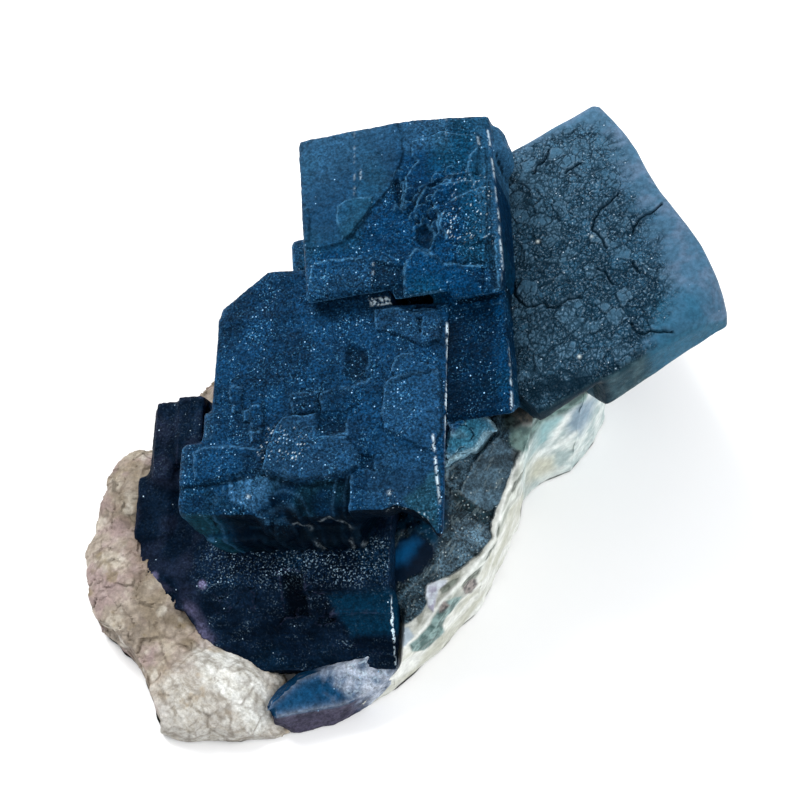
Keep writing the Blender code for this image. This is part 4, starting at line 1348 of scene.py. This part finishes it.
# Flat cleavage faces: centre, how they slope along X and Y, outline on the leaning plane, and tone.
CLEAVAGE = (
    ((13.5, -6.6, 17.8), (-0.12, 0.78), [(12.7, 6.9), (14.3, 8.6), (15.2, 8.2), (15.9, 7.4), (16.7, 7.0),
                                         (16.0, 5.0), (14.8, 1.8), (14.3, 1.0), (13.3, 0.7), (11.9, 1.4),
                                         (11.0, 2.2), (10.4, 2.4), (11.0, 4.0), (11.7, 5.7), (12.0, 6.3)],
     0.66),
    ((10.3, -6.5, 17.9), (0.10, 0.45), [(9.1, 5.1), (10.0, 5.9), (11.7, 6.5), (11.7, 5.7), (11.0, 4.0),
                                        (10.4, 2.9), (9.3, 3.2), (8.9, 4.0)], 0.50),
    ((11.7, -9.2, 15.8), (-0.30, 1.05), [(9.3, 3.0), (10.4, 2.9), (11.0, 2.2), (11.9, 1.4), (13.3, 0.7),
                                         (14.3, 1.0), (13.8, -0.4), (13.0, -1.0), (11.5, 0.6), (10.4, 1.0),
                                         (9.5, 1.9)], 0.0),
    ((11.9, -11.1, 13.3), (-0.38, 0.90), [(10.7, -0.3), (11.5, 0.5), (13.0, -1.0), (13.8, -0.6), (13.9, -2.4),
                                          (13.0, -3.5), (12.0, -4.3), (11.1, -3.4), (10.0, -2.0), (9.6, -0.9)],
     0.80),
    ((9.7, -13.9, 12.5), (-0.20, 0.50), [(8.8, -3.0), (10.0, -2.1), (11.1, -3.4), (12.0, -4.3), (10.6, -5.4),
                                         (9.1, -6.4), (8.3, -6.6), (7.8, -5.0)], 0.55),
    ((6.1, -17.0, 10.4), (0.45, 0.90), [(4.5, -8.0), (6.1, -6.7), (7.8, -5.8), (8.3, -6.6), (6.9, -7.1),
                                        (6.7, -8.1), (6.9, -9.2), (5.9, -10.5), (4.4, -11.2), (3.8, -10.2)],
     0.36),
    ((5.1, -13.2, 12.3), (0.50, 0.34), [(5.6, -1.5), (6.4, -2.0), (7.6, -3.0), (7.4, -4.5), (6.1, -6.0),
                                        (4.0, -7.2), (2.9, -6.7), (2.7, -4.8), (3.2, -3.5), (4.5, -2.3)], 0.0),
    ((7.6, -17.1, 11.0), (-0.04, 1.05), [(6.9, -7.1), (8.0, -6.7), (9.0, -6.7), (8.9, -7.1), (8.1, -7.7),
                                         (7.8, -8.8), (7.6, -10.2), (7.0, -9.5), (6.7, -8.2)], 1.0),
)
SMOOTH_FACE, BLUE_FACE, LILAC_FACE = [CLEAVAGE[i][2] for i in (0, 6, 7)]
AZURE = [(5.8, -1.9), (6.4, -2.7), (5.9, -3.9), (4.7, -5.0), (3.5, -5.5), (2.9, -4.8), (3.4, -3.7), (4.5, -2.6)]
WHITE_FACET = [(3.6, -12.0), (4.9, -11.9), (5.5, -12.8), (4.6, -13.8), (3.6, -14.4)]
# Up against the middle cube the seam is still blue.
BLUE_CORNER = [(3.0, 2.4), (9.3, 2.4), (9.2, -0.6), (8.4, -1.8), (7.8, -3.2), (5.6, -1.6), (3.0, -2.0)]
# The dark inside ends along this line. A white vein runs a little further out.
INNER_LINE = [(16.7, 7.0), (16.0, 5.0), (15.3, 3.0), (14.8, 1.8), (14.1, 0.3), (13.8, -0.9), (13.9, -2.4),
              (13.0, -3.5), (12.0, -4.3), (10.6, -5.4), (9.1, -6.4), (6.9, -7.1), (6.7, -8.1), (6.9, -9.2),
              (6.4, -10.2), (5.3, -11.3), (4.2, -11.8), (3.4, -12.0)]
VEIN = [(17.0, 6.7), (16.5, 5.8), (16.0, 4.5), (15.8, 3.3), (15.3, 2.3), (14.8, 0.7), (14.4, -1.0),
        (14.2, -2.5), (13.6, -3.6), (12.6, -4.5), (11.7, -5.5), (11.0, -6.4), (9.9, -7.5), (9.0, -8.4),
        (8.3, -9.2), (7.5, -10.3), (7.0, -11.4), (6.2, -12.3), (5.3, -13.2), (4.3, -14.0)]
# Patches on the rim and on the foot.
LENSES = ([(16.0, 2.7), (16.2, 3.6), (16.9, 4.4), (17.6, 5.0), (18.0, 5.2), (17.4, 3.9), (16.8, 3.0),
           (16.2, 2.4)],
          [(14.5, -0.4), (14.8, -0.9), (14.9, -1.8), (14.6, -2.6), (14.2, -1.9), (14.3, -1.1)],
          [(14.8, -2.9), (14.5, -3.8), (13.7, -4.5), (13.1, -4.8), (13.6, -4.0), (14.3, -3.2)],
          [(12.9, -5.4), (12.6, -6.4), (12.2, -6.8), (11.5, -7.1), (10.9, -7.8), (10.6, -7.6), (11.3, -6.5),
           (12.2, -5.8)],
          [(9.5, -6.7), (10.4, -6.4), (9.9, -7.2), (9.0, -8.0), (8.4, -8.2), (8.3, -7.4)],
          [(7.9, -12.6), (8.4, -11.1), (8.9, -10.2), (8.4, -11.4), (7.6, -12.8), (6.6, -13.3), (5.9, -13.3),
           (6.8, -12.5)])
TEAL_LENS = [(9.9, -8.6), (10.8, -8.9), (9.9, -10.2), (9.1, -10.9), (8.6, -12.1), (8.9, -12.9), (7.9, -13.9),
             (6.7, -14.9), (5.3, -14.5), (4.9, -13.7), (5.9, -13.0), (7.2, -11.7), (7.9, -10.2), (8.8, -9.1)]
BROWN_LENSES = ([(11.5, -6.9), (12.2, -6.8), (12.5, -7.6), (11.9, -8.6), (11.1, -8.6), (10.7, -7.8)],
                [(8.8, -8.9), (9.4, -9.5), (8.8, -10.2), (8.1, -10.4), (8.1, -9.6)])
FOOT_GREEN = ([(18.0, 10.2), (19.6, 11.2), (22.1, 12.3), (25.6, 14.6), (25.0, 12.5), (22.7, 11.2), (20.7, 10.4),
               (18.9, 9.5)],
              [(15.7, 7.8), (15.8, 9.3), (16.7, 9.9), (18.2, 9.9), (19.0, 9.2), (18.5, 7.6), (17.4, 6.9),
               (16.4, 7.1)])
# Round the knob lies painted shadow, cast by the cracked cube above it.
KNOB_SHADOW = [(14.6, 13.5), (15.0, 9.2), (16.0, 9.3), (17.0, 9.9), (18.6, 10.2), (19.6, 10.7), (20.6, 12.0),
          (20.6, 13.5)]
FOOT_AQUA = [(18.9, 8.3), (19.5, 9.9), (21.2, 10.6), (22.5, 10.6), (21.6, 9.1), (20.9, 7.5), (19.5, 7.2)]
FOOT_BLUE = [(23.3, 11.2), (24.6, 12.5), (26.6, 13.0), (26.3, 10.5), (25.2, 8.6), (23.7, 8.6), (23.0, 9.8)]
FOOT_CREAM = [(18.5, 5.2), (20.0, 6.0), (22.0, 5.9), (22.4, 4.2), (20.3, 3.2), (18.5, 2.6)]
SWIRLS = ([(19.6, 5.9), (20.9, 6.9), (21.7, 8.2), (22.4, 9.5), (23.0, 10.6)],
          [(21.5, 6.8), (23.0, 7.5), (24.4, 8.6)])

# %% Seam: mass
seam = joined("banded_seam", [
    lump((3.0, -17.4, 2), (7.6, 9.2, 6.0)),
    lump((7.8, -11.5, 5), (7.4, 8.0, 8.6)),
    lump((10.6, -4.8, 8), (7.4, 7.4, 10.6)),
    lump((17.2, 3.6, 3.4), (7.0, 7.8, 7.6)),
    lump((22.8, 10.0, 3.5), (8.0, 8.0, 8.0)),
    lump((16.6, -0.4, 13.0), (5.4, 6.4, 9.4)),
    lump((22.4, 5.0, 11), (5.6, 6.6, 10.5)),
    lump((21.6, 3.4, 17.5), (4.8, 4.8, 8.2)),
    lump((17.4, -1.5, 21.7), (1.4, 1.3, 1.5)),
])
skin(seam, 0.5)
cut(seam, (0, 0, 0), (0, 0, 1))
skin(seam, 0.36)
refine(seam, lambda c, n: (n[:, 2] > 0.0) & (c[:, 2] > 0.3) & (n[:, 1] < 0.5), 1)
print("seam has", len(seam.data.polygons), "faces")

# %% Seam: carving
def leaning(points):
    """Places on the plane that leans back."""
    return np.stack([points[:, 0], points[:, 1] * LEAN[2] - points[:, 2] * LEAN[1]], axis=1)


points, normals = read(seam)
x, y, z = points.T
above = points[:, :2]
trimmed(points, SEAM_OUTLINE, 0.25 * nudges(points, 2.5, 100, 101))
raised = steps(z, 0.0, 0.6)
# Half way along, the rim swells outwards.
swell = steps(x, 6.0, 12.0) * steps(y, -19.0, -12.0) * steps(-y, -1.0, 4.0)
x += 0.9 * swell
y -= 0.3 * swell
bend = 0.12 * nudges(points, 0.9, 108, 158)
flat = leaning(points) + bend
dark_inside = (INNER_LINE + [(0.0, -12.4), (-4.5, -8.0), (-4.5, 6.0), (6.0, 18.0), (15.8, 14.0), (16.2, 11.5),
                             (16.4, 9.9), (16.0, 8.1)])
inner = inside(flat, dark_inside, 0.2)
crumble, _ = faceted(points, 1.3, 105)
relief = (inner * 0.14 * crumble + (1 - inner) * 0.22 * wander(points, 2.8, 106)
          + 0.03 * wander(points, 0.5, 107) * (1 + inner))
facing = steps(normals @ LEAN, 0.05, 0.25)
points += np.clip(normals * (relief * raised)[:, None], -FARTHEST, FARTHEST)
vein = near_line(flat, VEIN, 0.20)
lens = patch(flat, LENSES, 0.18)
points += normals * ((0.10 * vein - 0.12 * lens) * raised * (1 - inner))[:, None]
tone = 0.40 + 0.25 * wander(points, 2.2, 109)
for (at_x, at_y, at_z), (slope_x, slope_y), outline, shade in CLEAVAGE:
    face = inside(flat, outline, 0.15) * facing
    rise = slope_x * (x - at_x) + slope_y * (y - at_y) - (z - at_z) + 0.06 * wander(points, 1.2, 110)
    rise /= LEAN[2] - slope_y * LEAN[1]
    face *= np.abs(rise) < 2.5
    points += (face * rise)[:, None] * LEAN
    tone = tone * (1 - face) + (shade + 0.12 * wander(points, 1.0, 112)) * face
# At its low end the seam thins out towards the stub.
ceiling = np.interp(x, (-3.0, 0.0, 2.0, 4.0, 6.5), (0.8, 1.6, 3.0, 5.2, 20.0))
low_end = steps(-y, 16.5, 18.5)
z -= low_end * np.clip(z - ceiling, 0, None)
z[:] = np.maximum(z, np.where(raised > 0, LIFT, 0.0))
write(seam, points)

# %% Seam: notes for its finish
flat = leaning(points) + bend
inner = inside(flat, dark_inside, 0.2)
foot = steps(flat[:, 0] + 0.3 * np.minimum(flat[:, 1], 7.5) + 0.8 * wander(points, 3.0, 102), 17.8, 19.6)
lit, shaded = edged(flat, [(outline, 1) for _, _, outline, _ in CLEAVAGE], 0.07)
broken = patchy(points, 0.8, 111, -0.2, 0.4)
outer = depth_in(above, SEAM_OUTLINE)[0]
note(seam,
     layers=outer + 0.30 * z,
     inner=inner,
     foot=foot,
     tone=most(tone),
     smooth=inside(flat, SMOOTH_FACE, 0.3),
     lit=lit * inner * broken,
     shaded=shaded * inner * broken,
     blue=inside(flat + 0.5 * nudges(points, 0.8, 116, 117), BLUE_FACE, 0.6),
     azure=steps(depth_in(flat, AZURE)[0], -0.9, 1.3),
     corner=inside(flat, BLUE_CORNER, 1.0) * inner,
     lilac=inside(flat, LILAC_FACE, 0.2),
     vein=vein * (1 - foot),
     lens=lens,
     band=inside(flat, INNER_LINE + VEIN[::-1], 0.25),
     teal=inside(flat, TEAL_LENS, 0.3),
     brown=patch(flat, BROWN_LENSES, 0.3),
     green=patch(flat, FOOT_GREEN, 0.7),
     aqua=inside(flat, FOOT_AQUA, 1.0),
     hazy=inside(flat, FOOT_BLUE, 1.8),
     cream=inside(flat, FOOT_CREAM, 1.6),
     pale=inside(flat, WHITE_FACET, 0.25),
     swirl=lined(flat, SWIRLS, 0.35),
     socket=inside(flat, KNOB_SHADOW, 0.8),
     knob=dot(points, (17.4, -1.6, 22.3), 1.25, 4),
     fold=folds(seam))


# %% [markdown]
# The seam has the most colours, and each of them keeps to its own patch. So the notes of
# the patches choose between small two-colour clouds, from the dark inside to the pale foot,
# instead of one pattern that would have to fit them all.

# %% Seam finish
def banded(name):
    material = begin(name)
    where = millimetres()
    warp = maths("MULTIPLY_ADD", cloud(where, 3.5, 2.0), 3.6, -1.8)
    rim = maths("ADD", noted("layers"), warp)

    # Inside: dark grey-green cleavage with painted glints, each face in its own tone, painted highlights on lit
    # rims and painted shade on shaded ones.
    clouds = eased(cloud(where, 1.6, 4.0), 0.35, 0.65, 0.50, 1.5)
    grain = eased(cloud(where, 0.25, 2.0, 0.6), 0.35, 0.68, 0.40, 2.1)
    rough_grain = blend(noted("smooth", 0.45), grey(grain), (1.0, 1.0, 1.0))
    green = blend(noted("tone"), (0.002, 0.011, 0.016), (0.066, 0.122, 0.168))
    green = blend(1.0, blend(1.0, green, grey(clouds), "MULTIPLY"), rough_grain, "MULTIPLY")
    scratches = eased(cloud(millimetres((1.0, 0.18, 0.4), (0.0, 0.0, -35.0)), 0.35), 0.56, 0.68, 0.0, 0.55)
    glint_specks, _ = painted_glints(where, 0.34, maths("SUBTRACT", 0.55, noted("smooth", 0.45)), 0.33)
    corner = blend(eased(cloud(where, 1.4, 4.0, 0.6), 0.38, 0.64), (0.0008, 0.007, 0.020),
                   (0.004, 0.040, 0.085))
    azure = maths("MULTIPLY_ADD", cloud(where, 1.8, 4.0), 0.8, maths("SUBTRACT", noted("azure"), 0.4))
    green = layered(
        green,
        (scratches, (0.15, 0.21, 0.23)),
        (noted("lit", 0.5), (0.24, 0.31, 0.34)),
        (noted("shaded", 0.6), (0.002, 0.007, 0.009)),
        (glint_specks, (0.36, 0.44, 0.46)),
        (noted("corner"), blend(times(glint_specks, 0.7), corner, (0.16, 0.32, 0.44))),
        (noted("blue"), blend(eased(azure, 0.1, 1.0), (0.001, 0.010, 0.028), (0.002, 0.095, 0.260))))

    # The foot: pale with white swirls, aqua in the middle, blue-grey at the right and cream below.
    foot = layered(
        clouded(where, 2.4, (0.34, 0.43, 0.43), (0.62, 0.68, 0.66), 0.12, 4.0),
        (noted("cream", 0.75), (0.50, 0.49, 0.38)),
        (noted("hazy", 0.9), (0.19, 0.28, 0.36)),
        (noted("aqua", 0.9), (0.22, 0.40, 0.42)),
        (noted("swirl", 0.75), (0.78, 0.82, 0.80)))

    # Towards the edge: a cream-grey band, a white vein, and white with dark lenses. Then come the
    # inside and the foot, and over them the green above the foot, the painted shadow round the knob, and the
    # knob.
    along = millimetres((0.35, 1.1, 0.6), (0.0, 0.0, 50.0))
    white = clouded(along, 1.8, (0.46, 0.47, 0.40), (0.70, 0.72, 0.69), 0.15)
    soft_lens = clouded(along, 1.3, (0.22, 0.25, 0.22), (0.62, 0.66, 0.62), 0.12, 2.0)
    colour = layered(
        blend(eased(rim, 1.7, 2.7, 0.0, 0.7), white, soft_lens),
        (noted("band"), clouded(along, 1.0, (0.26, 0.27, 0.23), (0.56, 0.58, 0.54), 0.14, 4.0)),
        (noted("lens", 0.9), clouded(where, 0.8, (0.050, 0.062, 0.050), (0.18, 0.21, 0.18))),
        (noted("teal"), clouded(where, 1.2, (0.060, 0.110, 0.105), (0.220, 0.330, 0.320), 0.12, 4.0)),
        (noted("brown", 0.9), clouded(where, 0.7, (0.060, 0.052, 0.055), (0.230, 0.200, 0.190), 0.1)),
        (noted("vein", 0.75), (0.78, 0.81, 0.78)),
        (noted("inner"), green),
        (noted("lilac"), clouded(where, 1.2, (0.30, 0.30, 0.38), (0.56, 0.62, 0.68), 0.1)),
        (noted("pale"), (0.38, 0.46, 0.52)),
        (times(noted("foot"), maths("SUBTRACT", 1.0, noted("lens"))), foot),
        (noted("green", 0.92), clouded(where, 1.2, (0.045, 0.090, 0.085), (0.150, 0.260, 0.240))),
        (noted("socket"), clouded(where, 0.7, (0.004, 0.010, 0.011), (0.034, 0.056, 0.055), 0.1)),
        (noted("knob"), clouded(where, 0.8, (0.034, 0.040, 0.041), (0.120, 0.108, 0.092), 0.1)))

    # Painted shade in creases, stronger inside.
    crease = times(eased(noted("fold"), -0.03, -0.14, 0.0, 0.6),
                   maths("MULTIPLY_ADD", noted("inner"), 0.8, 0.2))
    colour = blend(crease, salty(colour, where, 0.7, 0.86, 1.12, 3.0, 0.6), (0.008, 0.02, 0.024))
    rougher_inside = maths("MULTIPLY_ADD", noted("inner"), 0.5, 0.15)
    return surface(material, {
        "Base Color": colour, "Roughness": eased(cloud(where, 0.9), 0.3, 0.7, 0.3, 0.55), "IOR": FLUORITE_IOR,
        "Specular IOR Level": 0.1, "Transmission Weight": 0.1,
        "Normal": bumped(cloud(where, 0.25, 4.0, 0.65), rougher_inside)}, (0.55, 0.75, 0.75), 150.0)


place(seam, banded("banded_grey_green_fluorite"), 30, LEVEL, "fluorite_seam", "grey_green_fluorite")

# %% [markdown]
# ## The teal chip
#
# Between the cubes and the seam sits a chip of clear teal fluorite, a broken corner about
# eight millimetres across. Its lower edge is bevelled and its left edge carries a painted
# highlight. It is a small prism whose top outline is narrower than its foot.

# %% Teal chip
CHIP = ((11.7, -3.8, 21.1), (38.0, -4.0, 12.0))
CHIP_FOOT = [(-3.1, 2.0), (-1.0, 4.2), (0.7, 3.4), (2.4, 1.6), (3.5, -0.4), (2.1, -1.0), (0.4, -2.7),
             (-2.6, -3.2), (-4.8, -3.8)]
CHIP_TOP = [(-2.7, 1.7), (-1.0, 3.8), (0.5, 3.1), (2.0, 1.5), (2.7, 0.0), (1.3, 0.2), (0.0, -1.2), (-2.3, -1.6),
            (-3.7, -2.4)]
chip = slab(CHIP_FOOT, -2.6, 0.0, CHIP_TOP)
chip.name = chip.data.name = "teal_chip"
skin(chip, 0.2)
refine(chip, lambda c, n: n[:, 2] > 0.3, 1)
points, normals = read(chip)
x, y, z = points.T
above = points[:, :2]
crumble, crack = faceted(points, 1.8, 121)
points += normals * (0.12 * crumble + 0.05 * wander(points, 0.6, 122))[:, None]
z += 0.18 * (x + 1.0) * (z > -1.0) * 0.4
roughen(points, normals, 123, 0.05, 0.03, 0.02)
write(chip, points)
depth, _ = depth_in(above, CHIP_TOP)
# Painted highlight along the left edge.
lit_left_edge = near_line(above, [(-1.1, 3.9), (-2.9, 1.8), (-4.3, -3.2)], 0.25)
bevel = steps(-depth, 0.0, 0.3)
note(chip,
     line=most(0.9 * lit_left_edge * patchy(points, 0.7, 124, -0.5, 0.1)),
     rim=0.5 * np.exp(-np.abs(depth) / 0.3),
     milk=most(0.5 * bevel + 0.6 * np.exp(-((depth / 0.18) ** 2)) + 0.35 * patchy(points, 1.6, 125, 0.1, 0.5)),
     tint=inside(above, [(-2.7, 1.7), (-1.0, 3.8), (0.8, 2.8), (-2.0, 0.7)], 0.4),
     frost=0.55 * (1 - bevel),
     dark=0.10 * (1 - steps(crack, 0.0, 0.10)),
     fold=folds(chip))
place(chip, chip_finish, 40, CHIP, "fluorite_seam", "grey_green_fluorite")

# %% [markdown]
# ## Camera, floor and light
#
# The specimen is seen from above and in front, through a long lens, on a pale floor. One
# large soft light stands behind it to the left, so the upper faces are bright and the
# fronts fall into shade, and the pale surroundings fill the rest.

# %% Stage
LOOK_AT = (0.004, 0.005, 0.015)
HEIGHT = math.radians(56.0)
DISTANCE = 0.175
camera_data = bpy.data.cameras.new("camera")
camera = bpy.data.objects.new("camera", camera_data)
bpy.context.scene.collection.objects.link(camera)
camera.location = (LOOK_AT[0], LOOK_AT[1] - DISTANCE * math.cos(HEIGHT),
                   LOOK_AT[2] + DISTANCE * math.sin(HEIGHT))
camera.rotation_euler = (math.pi / 2 - HEIGHT, 0.0, 0.0)
camera_data.lens = 70.0
camera_data.sensor_width = 36.0
camera_data.clip_start = 0.001
bpy.context.scene.camera = camera

bpy.ops.object.select_all(action="DESELECT")
bpy.ops.mesh.primitive_plane_add(size=3.0, location=(0, 0, -0.0002))
floor = bpy.context.active_object
floor.name = "floor"
floor.data.materials.append(surface(begin("pale_floor"),
                                    {"Base Color": (0.9, 0.9, 0.9, 1.0), "Roughness": 0.8}))

world = bpy.data.worlds.new("studio")
bpy.context.scene.world = world
world.use_nodes = True
sky = world.node_tree.nodes["Background"].inputs
sky["Color"].default_value = (0.97, 0.98, 1.0, 1.0)
sky["Strength"].default_value = 0.85


def soft_light(name, location, size, power):
    data = bpy.data.lights.new(name, "AREA")
    data.size = size
    data.energy = power
    light = bpy.data.objects.new(name, data)
    bpy.context.scene.collection.objects.link(light)
    light.location = location
    aim = Vector(LOOK_AT) - Vector(location)
    light.rotation_euler = aim.to_track_quat("-Z", "Y").to_euler()


soft_light("key", (-0.30, 0.32, 0.50), 0.30, 4.2)
soft_light("fill", (0.38, -0.10, 0.30), 0.40, 1.6)
bpy.context.scene.view_settings.view_transform = "Standard"
print("camera at", [round(c, 4) for c in camera.location])
